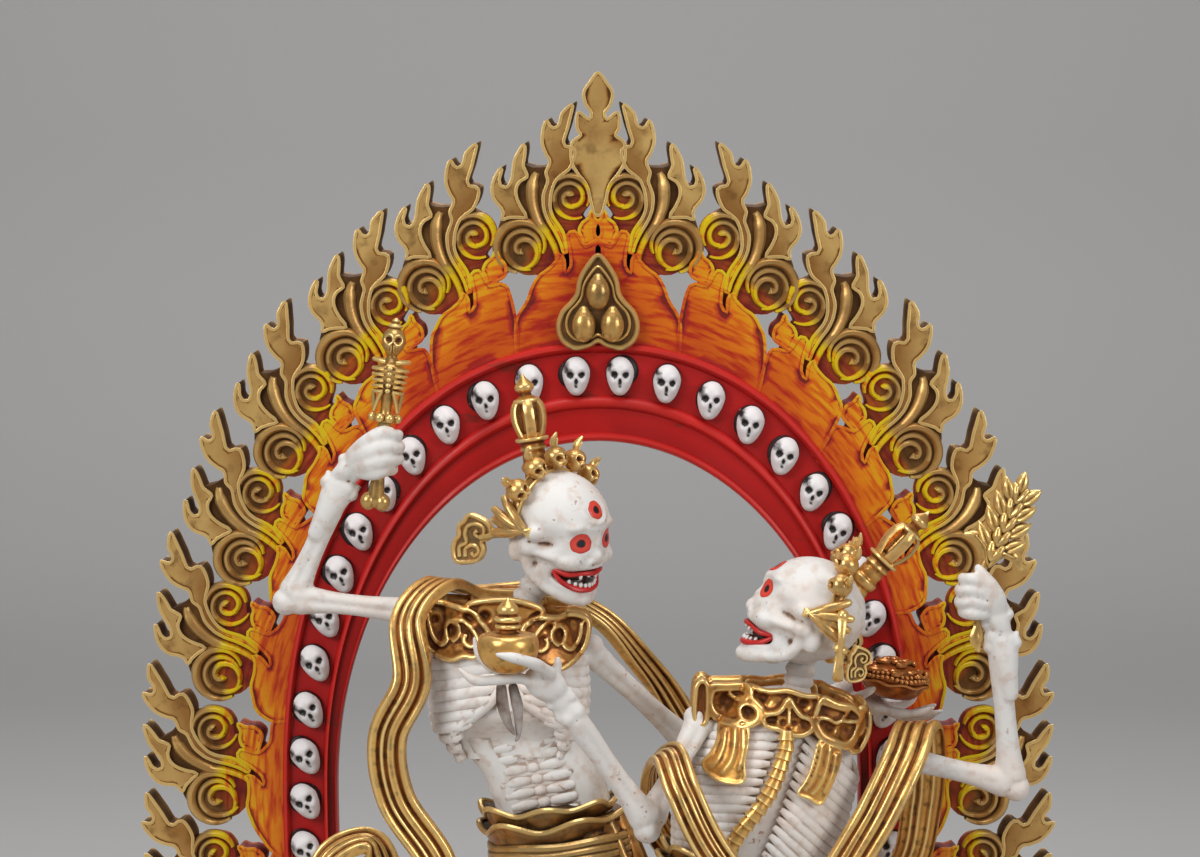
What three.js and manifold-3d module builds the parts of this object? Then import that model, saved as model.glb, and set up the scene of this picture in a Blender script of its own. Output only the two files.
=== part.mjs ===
// Chitipati statue: two skeleton dancers, a lord and a lady, in front of an oval flame aureole on a low
// lotus base. Painted and gilded copper, cast in pieces. Millimetres, +Z up, the dancers face -Y, and the
// origin is under the middle of the base.
import * as THREE from 'three';
import { LoftGeometry } from 'three/addons/geometries/LoftGeometry.js';
import { mergeVertices } from 'three/addons/utils/BufferGeometryUtils.js';
import Module from 'manifold-3d';

const wasm = await Module();
wasm.setup();

// Driving dimensions
const baseTop = 34; // height of the lotus base
const baseHalfWidth = 98;
const baseHalfDepth = 54;
const standGap = 0.3; // clearance between separately cast pieces
const archCentre = 127.4; // height of the aureole's widest line
const archFront = 26; // y of the aureole's front face
const archThick = 4.6;
const innerArch = { a: 68.4, b: 90.7, low: 190, n: 2.0 };
const ridgeArch = { a: 71.3, b: 101.4, low: 192, n: 2.1 };
const rimArch = { a: 82.4, b: 116, low: 190, n: 2.2 };
const skullArch = { a: 77, b: 108.7, low: 190, n: 2.15 };
const scrollArch = { a: 100, b: 142.5, low: 200, n: 2.15 };
const unitsPerSide = 9;
const firstUnit = 19.6; // length along the scroll line from the apex to the first flame unit
const unitGap = 27.1;
const unitGapGrowth = 1;
const skullsPerSide = 18;
const skullGap = 12.2;

const bone = () => new THREE.MeshStandardMaterial({ color: 0xe9e4da, roughness: 0.6, metalness: 0 });
const gold = () => new THREE.MeshStandardMaterial({ color: 0xb8862f, roughness: 0.38, metalness: 0.85 });
const flamePaint = () => new THREE.MeshStandardMaterial({ color: 0xc2551f, roughness: 0.5, metalness: 0.3 });

const V = (x, y, z) => new THREE.Vector3(x, y, z);
const mix = (a, b, t) => a.clone().lerp(b, t);
const rad = THREE.MathUtils.degToRad;
const toward = V(0, -1, 0); // to the viewer
const up = V(0, 0, 1);

// A closed three.js geometry as a solid that can be joined and cut
function solid(geometry) {
  const bare = new THREE.BufferGeometry();
  bare.setAttribute('position', geometry.getAttribute('position'));
  if (geometry.index) bare.setIndex(geometry.index);
  const merged = mergeVertices(bare, 1e-3);
  const index = merged.index.array;
  const kept = [];
  for (let i = 0; i < index.length; i += 3) {
    const [a, b, c] = [index[i], index[i + 1], index[i + 2]];
    if (a !== b && b !== c && a !== c) kept.push(a, b, c);
  }
  return new wasm.Manifold(new wasm.Mesh({
    numProp: 3,
    vertProperties: merged.attributes.position.array,
    triVerts: new Uint32Array(kept),
  }));
}

const union = (parts) => parts.reduce((sum, part) => sum.add(part));

// A finished solid as a named mesh
function meshOf(name, made, material) {
  const { numProp, numVert, vertProperties, triVerts } = made.getMesh();
  const position = new Float32Array(numVert * 3);
  for (let i = 0; i < numVert; i++) {
    position.set(vertProperties.subarray(i * numProp, i * numProp + 3), i * 3);
  }
  const geometry = new THREE.BufferGeometry();
  geometry.setAttribute('position', new THREE.BufferAttribute(position, 3));
  geometry.setIndex(new THREE.BufferAttribute(triVerts, 1));
  geometry.computeVertexNormals();
  const mesh = new THREE.Mesh(geometry, material);
  mesh.name = name;
  return mesh;
}

// An ellipsoid with three radii, turned by a matrix or left upright
function egg(centre, radii, detail = 1, turn = null) {
  const geometry = new THREE.IcosahedronGeometry(1, detail);
  geometry.scale(radii.x, radii.y, radii.z);
  if (turn) geometry.applyMatrix4(turn);
  geometry.translate(centre.x, centre.y, centre.z);
  return solid(geometry);
}

// Skins a row of rings into a closed solid, whichever way round their points run
function loft(rings) {
  const middle = (ring) => ring.reduce((sum, p) => sum.add(p), V(0, 0, 0)).divideScalar(ring.length);
  const ahead = middle(rings[1]).sub(middle(rings[0]));
  const next = (ring, i) => ring[(i + 1) % ring.length];
  const normal = rings[0].reduce((sum, p, i, ring) => sum.add(p.clone().cross(next(ring, i))), V(0, 0, 0));
  const ordered = normal.dot(ahead) < 0 ? rings.map((ring) => [...ring].reverse()) : rings;
  return solid(new LoftGeometry(ordered, { capStart: true, capEnd: true }));
}

// Lofts a section along a path. face(t) is the direction that the section's second axis points in, and
// section(t) gives the section's [across, out] points, counterclockwise as seen from the path's end.
function sweep(points, stations, section, face) {
  const path = points.length > 2 ? new THREE.CatmullRomCurve3(points, false, 'centripetal')
    : new THREE.LineCurve3(points[0], points[1]);
  const rings = [];
  for (let i = 0; i < stations; i++) {
    const t = i / (stations - 1);
    const centre = path.getPointAt(t);
    const along = path.getTangentAt(t);
    const out = face(t).clone().addScaledVector(along, -face(t).dot(along)).normalize();
    const across = out.clone().cross(along);
    const at = ([u, v]) => centre.clone().addScaledVector(across, u).addScaledVector(out, v);
    rings.push(section(t).map(at));
  }
  return loft(rings);
}

// A round or oval section; turn shifts its corners by a share of one side
const round = (sides, width, depth = width, turn = 0) => Array.from({ length: sides }, (_, i) => {
  const angle = (i + turn) / sides * 2 * Math.PI;
  return [Math.cos(angle) * width, Math.sin(angle) * depth];
});

// A straight round piece whose profile is a list of [distance along it, radius]
function turned(from, to, profile, sides = 5, flat = 1) {
  const along = to.clone().sub(from).normalize();
  const face = Math.abs(along.y) > 0.8 ? V(0, 0, 1) : V(0, -1, 0);
  const out = face.clone().addScaledVector(along, -face.dot(along)).normalize();
  const across = out.clone().cross(along);
  return loft(profile.map(([s, r]) => round(sides, r, r * flat, 0.5).map(([u, v]) =>
    from.clone().addScaledVector(along, s).addScaledVector(across, u).addScaledVector(out, v))));
}

const taper = (from, to, start, end, sides = 5, flat = 1) =>
  turned(from, to, [[0, start], [from.distanceTo(to), end]], sides, flat);

// A bone between two joints, with a knob at each end
function boneBetween(from, to, radius, knobFrom, knobTo, sides = 5, flat = 0.85) {
  const length = from.distanceTo(to);
  return turned(from, to, [[-knobFrom * 0.7, knobFrom * 0.5], [0, knobFrom], [knobFrom * 1.5, radius],
    [length - knobTo * 1.5, radius], [length, knobTo], [length + knobTo * 0.7, knobTo * 0.5]], sides, flat);
}

// A limb in one piece: a knob at every joint and a thin shaft between each two, all turned to the plane of
// the limb's own bend
function limb(joints, knobs, shaft) {
  const towards = joints.slice(1).map((joint, i) => joint.clone().sub(joints[i]).normalize());
  const hinge = towards[0].clone().cross(towards[1]).normalize();
  const rings = [];
  const addRing = (at, along, radius) => {
    const across = hinge.clone().cross(along).normalize();
    rings.push(round(5, radius, radius * 0.85, 0.5).map(([u, v]) =>
      at.clone().addScaledVector(across, u).addScaledVector(hinge, v)));
  };
  const last = joints.length - 1;
  addRing(joints[0].clone().addScaledVector(towards[0], -knobs[0] * 0.8), towards[0], knobs[0] * 0.5);
  joints.forEach((joint, i) => {
    const along = mix(towards[Math.max(0, i - 1)], towards[Math.min(last - 1, i)], 0.5).normalize();
    addRing(joint, along, knobs[i]);
    if (i === last) return;
    addRing(joint.clone().addScaledVector(towards[i], knobs[i] * 1.6), towards[i], shaft);
    const left = joint.distanceTo(joints[i + 1]) - knobs[i + 1] * 1.6;
    if (left > knobs[i] * 2.4) addRing(joint.clone().addScaledVector(towards[i], left), towards[i], shaft);
  });
  return loft(rings);
}

// A flat outline in the aureole's plane, given as [x, z] points, made into a plate between two y values
function plate(outline, front, back) {
  const shape = new THREE.Shape(outline.map(([x, z]) => new THREE.Vector2(x, z)));
  const geometry = new THREE.ExtrudeGeometry(shape, { depth: back - front, bevelEnabled: false });
  geometry.rotateX(Math.PI / 2); // the outline's second number becomes z, and the depth runs to -y
  geometry.translate(0, back, 0);
  return solid(geometry);
}

// Points on a superellipse arch: angle 90 is the apex, and below the widest line it narrows slowly
function archPoint(arch, degrees) {
  const angle = rad(degrees);
  const c = Math.cos(angle);
  const s = Math.sin(angle);
  const power = 2 / arch.n;
  return [Math.sign(c) * arch.a * Math.abs(c) ** power,
    archCentre + Math.sign(s) * (s > 0 ? arch.b : arch.low) * Math.abs(s) ** power];
}

// The point on the right half of an arch at a length from the apex, and the angle of its normal
function archAt(arch, length) {
  const step = 0.25;
  let last = archPoint(arch, 90);
  let gone = 0;
  for (let degrees = 90 - step; degrees > -90; degrees -= step) {
    const next = archPoint(arch, degrees);
    const piece = Math.hypot(next[0] - last[0], next[1] - last[1]);
    if (gone + piece >= length) {
      return { point: next, normal: Math.atan2(next[0] - last[0], last[1] - next[1]) };
    }
    gone += piece;
    last = next;
  }
  throw new Error('the arch is shorter than ' + length);
}

// Lotus base: an oval plinth with a ring of petals turned down and one turned up, and a flat top
function lotusBase() {
  const petals = 20;
  const levels = [ // height, size, petal depth
    [0, 1, 0], [4, 1, 0], [4.6, 0.93, 0.01], [9.5, 0.97, 0.02], [16.5, 0.84, 0.01], [26.5, 0.96, 0.02],
    [30.4, 0.885, 0], [baseTop, 0.88, 0]];
  const squareness = 3.2;
  const rings = levels.map(([z, size, depth]) => Array.from({ length: petals * 2 }, (_, i) => {
    const angle = (i + 0.5) / petals * Math.PI;
    const ripple = size * (1 + (i % 2 ? depth : -depth));
    const c = Math.cos(angle);
    const s = Math.sin(angle);
    return V(Math.sign(c) * Math.abs(c) ** (2 / squareness) * baseHalfWidth * ripple,
      Math.sign(s) * Math.abs(s) ** (2 / squareness) * baseHalfDepth * ripple, z);
  }));
  return loft(rings);
}

// One flame unit's outline, in its own axes: the first number runs towards the apex, the second outwards,
// and the origin is the large scroll's centre
const flamelet = [[16.1, -12.8], [19.1, -7.2], [15.6, -5.9], [19.3, -5.4]];
const tallFlame = [[23.4, -0.6], [28.8, 7.2], [28.3, 9.7], [36.7, 14.4], [29.8, 14.1], [29.5, 16.7],
  [25, 14.7], [21.5, 9.7]];
const shortFlame = [[17.5, 11.8], [20.8, 17.2], [12.2, 15], [12.5, 17.8], [6.7, 15.9], [4.9, 10.8]];
const neck = [[-2.7, -7.9], [-9.5, -9.6]];
const largeScroll = { u: 0, v: 0, radius: 7.2 };
const smallScroll = { u: 18.2, v: -0.7, radius: 5.1 };
const scrollEdge = [40, 105].map((degrees) =>
  [-largeScroll.radius * Math.sin(rad(degrees)), largeScroll.radius * Math.cos(rad(degrees))]);
const valley = [13.8, -16.2]; // the notch between this unit and the next
const leanLimit = [40.5, 35.5]; // the two topmost units stand a little straighter than the others
const leanInwards = 4.5;

function flameUnit(index, side) {
  const length = firstUnit + unitGap * index + unitGapGrowth * index * (index - 1) / 2;
  const { point, normal } = archAt(scrollArch, length);
  const lean = Math.min(normal - rad(leanInwards), rad(leanLimit[index < 2 ? 0 : 1]));
  const [c, s] = [Math.cos(lean), Math.sin(lean)];
  const place = ([u, v]) => [side * (point[0] - u * s + v * c), point[1] + u * c + v * s];
  const outline = [...flamelet, ...tallFlame, ...shortFlame, ...scrollEdge, ...neck].map(place);
  const rimNear = ([x, z]) => { // where the unit's body meets the red band
    const angle = Math.atan2((z - archCentre) / rimArch.b, Math.abs(x) / rimArch.a);
    const [width, height] = archPoint(rimArch, THREE.MathUtils.radToDeg(angle));
    return [width * 0.985 * side, height - 1];
  };
  outline.push(rimNear(outline.at(-1)), rimNear(place(valley)), place(valley));
  if (side > 0) outline.reverse();
  const [x, z] = place([smallScroll.u, smallScroll.v]);
  const boss = taper(V(x, archFront + 0.5, z), V(x, archFront - 1.6, z), smallScroll.radius * 0.8,
    smallScroll.radius * 0.3);
  return union([plate(outline, archFront, archFront + archThick), scrollRidge(largeScroll, place), boss]);
}

// A scroll's raised band: a sharp ridge that winds in from the rim
function scrollRidge(scroll, place) {
  const turns = 1.05;
  const steps = 6;
  const width = scroll.radius * 0.16;
  const height = 1.3;
  const rings = [];
  for (let i = 0; i <= steps; i++) {
    const t = i / steps;
    const angle = Math.PI * (0.5 + 2 * turns * t);
    const reach = scroll.radius * (0.86 - 0.72 * t);
    const at = (r, y) => {
      const [x, z] = place([scroll.u + Math.cos(angle) * r, scroll.v + Math.sin(angle) * r]);
      return V(x, y, z);
    };
    rings.push([at(reach + width, archFront + 0.2), at(reach, archFront - height * (1 - 0.3 * t)),
      at(reach - width, archFront + 0.2)]);
  }
  return loft(rings);
}

// The red band: an inner flat, a ridge, a channel for the skulls and an outer ridge
function redBand() {
  const stations = 24;
  const footAngle = -32;
  const between = ([x, z], [toX, toZ], share, rise) =>
    V(x + (toX - x) * share, archFront - rise, z + (toZ - z) * share);
  const rings = [];
  for (let i = 0; i <= stations; i++) {
    const degrees = 180 - footAngle + (2 * footAngle - 180) * i / stations;
    const [inner, ridge, rim] = [innerArch, ridgeArch, rimArch].map((arch) => archPoint(arch, degrees));
    const flat = (share, rise) => between(inner, ridge, share, rise);
    const channel = (share, rise) => between(ridge, rim, share, rise);
    rings.push([flat(0, -archThick), flat(0, 0.6), flat(0.75, 0.2), flat(1, 1.4),
      channel(0.15, -0.5), channel(0.85, -0.5), channel(0.96, 1.4), channel(1.02, -archThick)]);
  }
  return loft(rings);
}

// One of the small skulls in the band's channel: a boss, broad at the brow and narrow at the chin
function ringSkull(centre, tilt) {
  const rise = 3.4;
  const outline = [[-3.5, 3], [3.5, 3], [2, -4.2], [-2, -4.2]];
  const at = (share, y) => outline.map(([x, z]) =>
    V(x * share, y, z * share).applyAxisAngle(V(0, 1, 0), tilt).add(centre));
  return loft([at(1.1, 0), at(0.72, -rise)]);
}

function flameAureole() {
  const parts = [redBand()];
  for (const side of [-1, 1]) {
    for (let i = 0; i < unitsPerSide; i++) parts.push(flameUnit(i, side));
    for (let i = 0; i < skullsPerSide; i++) {
      const { point, normal } = archAt(skullArch, skullGap * (i + 0.46));
      const tilt = side * (Math.PI / 2 - normal) / 3;
      parts.push(ringSkull(V(side * point[0], archFront + 0.8, point[1]), tilt));
    }
  }
  // The finial between the two topmost units: a spade on a barbed stem
  const apex = archCentre + 186;
  const stemFoot = [0, -60];
  const half = [[0, 0], [2.1, -2.5], [3.7, -5.1], [3, -8.2], [1.7, -10.2], [2.3, -12], [5.1, -10.2],
    [5.4, -14.1], [4.5, -16.1], [6.7, -18], [6.7, -31.6]];
  const mirrored = half.slice(1).reverse().map(([x, z]) => [-x, z]);
  parts.push(plate([...half, stemFoot, ...mirrored].map(([x, z]) => [x, apex + z]).reverse(),
    archFront, archFront + archThick));
  // Three jewels on a lobed plaque over the band
  for (const [x, z] of [[0, 256.5], [-3.6, 248.2], [3.6, 248.2]]) {
    parts.push(egg(V(x, archFront - 0.4, z + 0.4), V(6.2, 2.4, 7.2)));
    parts.push(egg(V(x, archFront - 2.2, z), V(2.8, 2.2, 4)));
  }
  // The band's feet are cut level where they stand on the base
  const cutDepth = 60;
  const below = new THREE.BoxGeometry(400, cutDepth, cutDepth);
  below.translate(0, archFront, baseTop + standGap - cutDepth / 2);
  return union(parts).subtract(solid(below));
}

// A skull in its own axes, facing -Y with its centre in the cranium, then turned and placed
function skull({ head, headTurn: turn }) {
  const ring = (z, width, front, back) => [V(-width, back, z), V(-width, front + 3.4, z),
    V(-width * 0.45, front, z), V(width * 0.45, front, z), V(width, front + 3.4, z), V(width, back, z)];
  const face = loft([ring(-18.4, 3.2, -10, -5), ring(-15.4, 6.6, -11.4, 2), ring(-10.5, 7.4, -13.4, 4),
    ring(-6.5, 10.4, -12.8, 5), ring(0, 9.8, -12.4, 6)]);
  const nose = taper(V(0, -12.4, -9.6), V(0, -11.6, -2.4), 2.8, 1.2, 4);
  const mouth = taper(V(-12, -11, -15), V(12, -11, -15), 3.2, 3.2, 4, 0.55);
  const sockets = [-1, 1].map((side) => egg(V(side * 4.9, -13.6, -4.4), V(3.4, 2.8, 3.4), 0));
  const whole = union([egg(V(0, 1, 0), V(12.4, 14, 13.2)), face, nose]);
  const hollowed = [mouth, ...sockets].reduce((left, hollow) => left.subtract(hollow), whole);
  return hollowed.transform(headMatrix(head, turn));
}

function headMatrix(head, turn) {
  const place = new THREE.Matrix4().makeTranslation(head.x, head.y, head.z);
  return place.multiply(turn).elements;
}

// The turn of a head: yaw from the viewer, pitch down, and roll in the picture's plane, in degrees
function headTurn(yaw, pitch, roll) {
  return new THREE.Matrix4().makeRotationY(rad(roll))
    .multiply(new THREE.Matrix4().makeRotationZ(rad(yaw)))
    .multiply(new THREE.Matrix4().makeRotationX(rad(pitch)));
}

// A barrel of ribs down the spine's line: each rib is a ridge between two grooves
function ribcage({ top, bottom, face, topWidth, width, depth, ribs, narrowing }) {
  const stations = ribs * 2 + 1;
  return sweep([top, mix(top, bottom, 0.5).addScaledVector(face, 1.5), bottom], stations, (t) => {
    const swell = Math.sin(Math.PI * (0.25 + t * 0.55)) ** 0.6;
    const groove = Math.round(t * (stations - 1)) % 2 ? 1 : 0.92;
    const lowRibs = Math.max(0, t - 0.7);
    const half = THREE.MathUtils.lerp(topWidth, width, Math.min(1, t * 2.4)) * (1 - lowRibs * narrowing);
    return round(8, half * groove, depth * swell * groove, 0.5);
  }, () => face);
}

// A closed fist round a rod that runs along the axis: four knuckles, one above the other
function fist(centre, axis, forward) {
  const fingers = 4;
  const fingerWidth = 2.5;
  const reach = axis.clone().multiplyScalar(fingers * fingerWidth / 2);
  const ends = [centre.clone().sub(reach), centre.clone().add(reach)];
  return sweep(ends, fingers * 2 + 1, (t) => {
    const size = Math.round(t * fingers * 2) % 2 ? 5.2 : 4.3;
    return round(6, size * 0.9, size, 0.5);
  }, () => forward);
}

// An open hand: a palm and fingers that each bend once
function openHand(wrist, palm, fingers) {
  const parts = [taper(wrist, palm.clone().add(palm.clone().sub(wrist).setLength(2)), 3, 3.8, 6, 0.8)];
  for (const [middle, tip] of fingers) {
    parts.push(taper(palm, middle, 1.8, 1.5), taper(mix(middle, palm, 0.12), tip, 1.4, 0.8));
  }
  return union(parts);
}

const leg = (joints) => limb(joints, [4.6, 4.4, 3.4, 2.2], 2.9);
const arm = (shoulder, elbow, wrist) => limb([shoulder, elbow, wrist], [3.8, 4.3, 3.4], 2.8);

// A short frilled skirt round the hips, wider at its wavy hem
function skirt(waist, hem, waistSize, hemSize, frills) {
  const rings = [];
  const levels = [[0, 1, 0.14], [0.14, 0.9, 0.05], [0.6, 1.04, 0.05], [1, 1, 0.12], [1.04, 0.7, 0.02]];
  for (const [t, size, wave] of levels) {
    const centre = mix(waist, hem, t);
    const half = THREE.MathUtils.lerp(waistSize, hemSize, t) * size;
    rings.push(Array.from({ length: frills * 2 }, (_, i) => {
      const angle = i / frills * Math.PI;
      const r = half * (1 + (i % 2 ? wave : -wave));
      return V(centre.x + Math.cos(angle) * r, centre.y - Math.sin(angle) * r * 0.72,
        centre.z + (i % 2 ? wave : -wave) * 8);
    }));
  }
  return loft(rings);
}

// A bib that lies over both shoulders and the top of the chest, with a scalloped lower edge
function collar(left, right, face, drop, lobes) {
  const middle = mix(left, right, 0.5).addScaledVector(face, 12.5).add(V(0, 0, -drop * 0.35));
  const edge = (t) => drop * (0.55 + 0.3 * Math.abs(Math.sin(Math.PI * lobes * t)));
  return sweep([left, mix(left, middle, 0.6).addScaledVector(face, 4), middle,
    mix(right, middle, 0.6).addScaledVector(face, 4), right], lobes * 3 + 1,
  (t) => [[-drop * 0.45, 0.6], [-drop * 0.45, -2], [edge(t), -2.6], [edge(t), 1.6]], () => face);
}

// Poses: every joint of the two dancers
const lord = {
  neckBase: V(-22.8, -10, 172),
  neckTop: V(-12, -8, 192),
  head: V(-9.3, -13, 201.2),
  headTurn: headTurn(48, 16, -6),
  rightShoulder: V(-45.9, -10, 178.4),
  rightElbow: V(-77.2, -4, 181.1),
  rightWrist: V(-61.6, -8, 210.9),
  rightFist: V(-55.4, -10, 217.9),
  leftShoulder: V(-2.5, -8, 168.5),
  leftElbow: V(23.6, 9, 141.4),
  leftWrist: V(63.8, 14, 154.1),
  leftPalm: V(72, 13, 150.4),
  ribTop: V(-22.4, -10, 173),
  ribFoot: V(-20, -10, 139),
  waist: V(-9.1, -8, 125),
  // hip, knee, ankle and toe
  rightLeg: [V(-12.7, -6, 106.2), V(-41.9, -22, 92.6), V(-19.7, -14, 67.5), V(-8.6, -20, 61)],
  leftLeg: [V(0.5, -6, 105.4), V(-13.1, -30, 83.2), V(-4.6, -8, 40), V(-8, -21, 36.3)],
};
const lady = {
  neckBase: V(48.1, -11, 152),
  neckTop: V(51.6, -12, 171),
  head: V(52.2, -14, 180.2),
  headTurn: headTurn(-90, 2, 26),
  rightShoulder: V(25.4, -16, 151.9),
  rightElbow: V(12.3, -32, 129.5),
  rightWrist: V(-6.3, -42, 157.8),
  rightPalm: V(-12.6, -43.5, 163.4),
  leftShoulder: V(74, -10, 142.1),
  leftElbow: V(106, -6, 133.2),
  leftWrist: V(101, -10, 173.3),
  leftFist: V(96.7, -10, 181.9),
  ribTop: V(49, -12, 151),
  ribFoot: V(33, -12, 110),
  rightLeg: [V(20.2, -10, 97.3), V(31.3, -32, 77.5), V(23.4, -8, 40), V(27, -21, 36.3)],
  leftLeg: [V(31.4, -8, 96.9), V(59.7, -24, 86.7), V(38.9, -14, 62.4), V(28, -19, 56.5)],
};

// What is worn and held. A spare allowance makes a fatter copy, to be cut from whatever carries the piece.
const staffFoot = V(-55.7, -10, 205.8);
const staffTip = V(-50, -10, 252);
const grainFoot = V(95.6, -10, 171.5);
const grainTip = V(104.1, -10, 212.9);

// The lord's club: an arm bone that ends in a small skeleton's ribs and head
function boneStaff(spare = 0) {
  const axis = staffTip.clone().sub(staffFoot).normalize();
  const at = (s) => staffFoot.clone().addScaledVector(axis, s);
  const knob = [[-0.5 - spare, 1.6], [1, 2.9], [4, 1.9]];
  const hips = [[17, 1.9], [18.5, 3.3], [20, 2.6], [21, 3.2], [23, 2.7]];
  const ribs = [[25, 4], [27, 3.2], [29, 5], [31, 3.8], [33.5, 5.6]];
  const neckBone = [[35, 1.8], [37, 1.8]];
  const profile = [...knob, ...hips, ...ribs, ...neckBone].map(([s, r]) => [s, r + spare]);
  const head = egg(at(40.2), V(3.7 + spare, 3.6 + spare, 4.6 + spare));
  return union([turned(at(0), at(46), profile, 6, 0.8), head, taper(at(43), at(47), 1.6, 0.8)]);
}

// The lady's ear of grain: a stem under a flat head with pointed leaves up both sides
function grainStalk(spare = 0) {
  const axis = grainTip.clone().sub(grainFoot).normalize();
  const across = axis.clone().cross(toward).normalize();
  const length = grainFoot.distanceTo(grainTip);
  const leaves = 5;
  const halfEdge = [[0.9, length * 0.4]];
  for (let i = 0; i < leaves; i++) {
    const height = length * (0.5 + 0.09 * i);
    halfEdge.push([8.2 - i * 1.1, height + 3.6], [3 - i * 0.3, height + 3]);
  }
  const edge = [...halfEdge, [0, length], ...halfEdge.map(([u, s]) => [-u, s]).reverse()];
  const at = (depth) => edge.map(([u, s]) =>
    grainFoot.clone().addScaledVector(axis, s).addScaledVector(across, u).addScaledVector(toward, depth));
  return union([turned(grainFoot, grainTip, [[-spare, 1.5 + spare], [length * 0.46, 1.2 + spare]]),
    loft([at(-1.2), at(1.2)])]);
}

// A vessel turned about its own upright axis; heights below zero grow downwards in the fatter copy
function vessel(profile, centre, sides, spare, tilt = 0) {
  const geometry = new THREE.LatheGeometry(profile.map(([r, z]) =>
    new THREE.Vector2(r ? r + spare : 0, z + Math.sign(z) * spare)), sides);
  geometry.rotateX(Math.PI / 2);
  geometry.rotateY(tilt);
  geometry.translate(centre.x, centre.y, centre.z);
  return solid(geometry);
}

// A bowl made from half a skull, heaped full
function skullCup(spare = 0) {
  const profile = [[0, -6.2], [5.4, -4.6], [8, -1.6], [8.8, 0.4], [8.6, 1.6], [5.6, 4.2], [0, 5.4]];
  return vessel(profile, V(75.8, 9, 158.4), 10, spare, 0.16);
}

// The lady's covered bowl: a shallow dish under two rings and a bud
function buddedBowl(spare = 0) {
  const dish = [[0, -5], [4, -4.2], [7.4, -1.6], [7.8, 0.9], [7, 1.9], [3.1, 2.4]];
  const rings = [[2.9, 4.2], [4, 4.8], [4, 5.8], [3, 6.4]];
  const bud = [[3.1, 8.4], [1.4, 10.4], [0, 12.6]];
  return vessel([...dish, ...rings, ...bud], V(-21.6, -46, 173.4), 8, spare);
}

// A pleated scarf: a flat strip with two flutes on its outer face, wider at its two free ends
const pleats = (half, thick) => [[-half, -thick], [half, -thick], [half, thick * 0.5], [half * 0.5, thick],
  [0, thick * 0.3], [-half * 0.5, thick], [-half, thick * 0.5]];

// Each station of a scarf's route is a point and the way that its outer face looks there
function scarf(stations, rings, half, thick, spare) {
  const faces = stations.map(([, , , face]) => face);
  const facing = (t) => {
    const at = Math.min(faces.length - 1.001, t * (faces.length - 1));
    return mix(faces[Math.floor(at)], faces[Math.floor(at) + 1], at % 1);
  };
  const route = stations.map(([x, y, z]) => V(x, y, z));
  return sweep(route, rings, (t) => pleats(half(t) + spare, thick + spare), facing);
}

function lordScarf(spare = 0) {
  const outwards = V(-1, -0.6, 0);
  const overShoulder = V(0, -0.4, 1);
  const stations = [
    [-56, -22, 88, toward], [-69, -20, 100, V(-1, -1, 0)], [-68, -18, 116, outwards],
    [-58, -15, 121, overShoulder], [-53, -15, 112, V(0.5, -1, 0)], [-48, -18, 99, toward],
    [-40, -22, 103, toward], [-40, -22, 117, toward], [-50, -22, 133, toward],
    [-52, -24, 149, toward], [-46, -24, 163, toward], [-47, -19, 178, V(-0.6, -1, 0.4)],
    [-40, -9, 185, V(-0.2, -0.3, 1)], [-31, 1, 181.5, up], [-15, 3.2, 181, overShoulder],
    [0, 4.5, 175, V(0.4, -0.6, 1)], [11, 9, 163, V(0.6, -1, 0.5)], [21, 16, 149, toward],
    [31, 17.5, 130, toward], [24, 17.5, 106, toward], [12, 17, 84, toward], [-2, 16, 70, toward]];
  const half = (t) => {
    if (t < 0.06 || t > 0.94) return 6.4; // the two free ends
    return t > 0.55 ? 3.6 : 4.9;
  };
  return scarf(stations, 32, half, 1.5, spare);
}

function ladyScarf(spare = 0) {
  const away = V(0, 1, 0);
  const stations = [
    [60, -32, 84, toward], [54, -32, 96, toward], [59, -26, 112, toward], [69, -25, 130, toward],
    [76, -20, 143, V(0, -1, 0.5)], [80, -9, 149, up], [83, 2.6, 143, V(0, 1, 0.3)], [83, 6.4, 126, away],
    [78, 8, 108, V(0.3, 1, 0)], [58, 11, 100, away], [34, 11, 104, V(0, 1, 0.2)],
    [17, 6, 118, V(-0.6, 1, 0.2)], [13.5, -8, 136, V(-1, 0.2, 0.4)], [17.2, -28, 145.5, V(-0.4, -0.3, 1)],
    [20.5, -39.4, 139, V(0, -1, 0.4)], [28, -40, 124, toward], [42, -37, 106, toward],
    [54, -38, 94, toward], [50, -38, 80, toward]];
  return scarf(stations, 28, (t) => (t < 0.04 || t > 0.96 ? 6 : 4.3), 1.3, spare);
}

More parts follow.
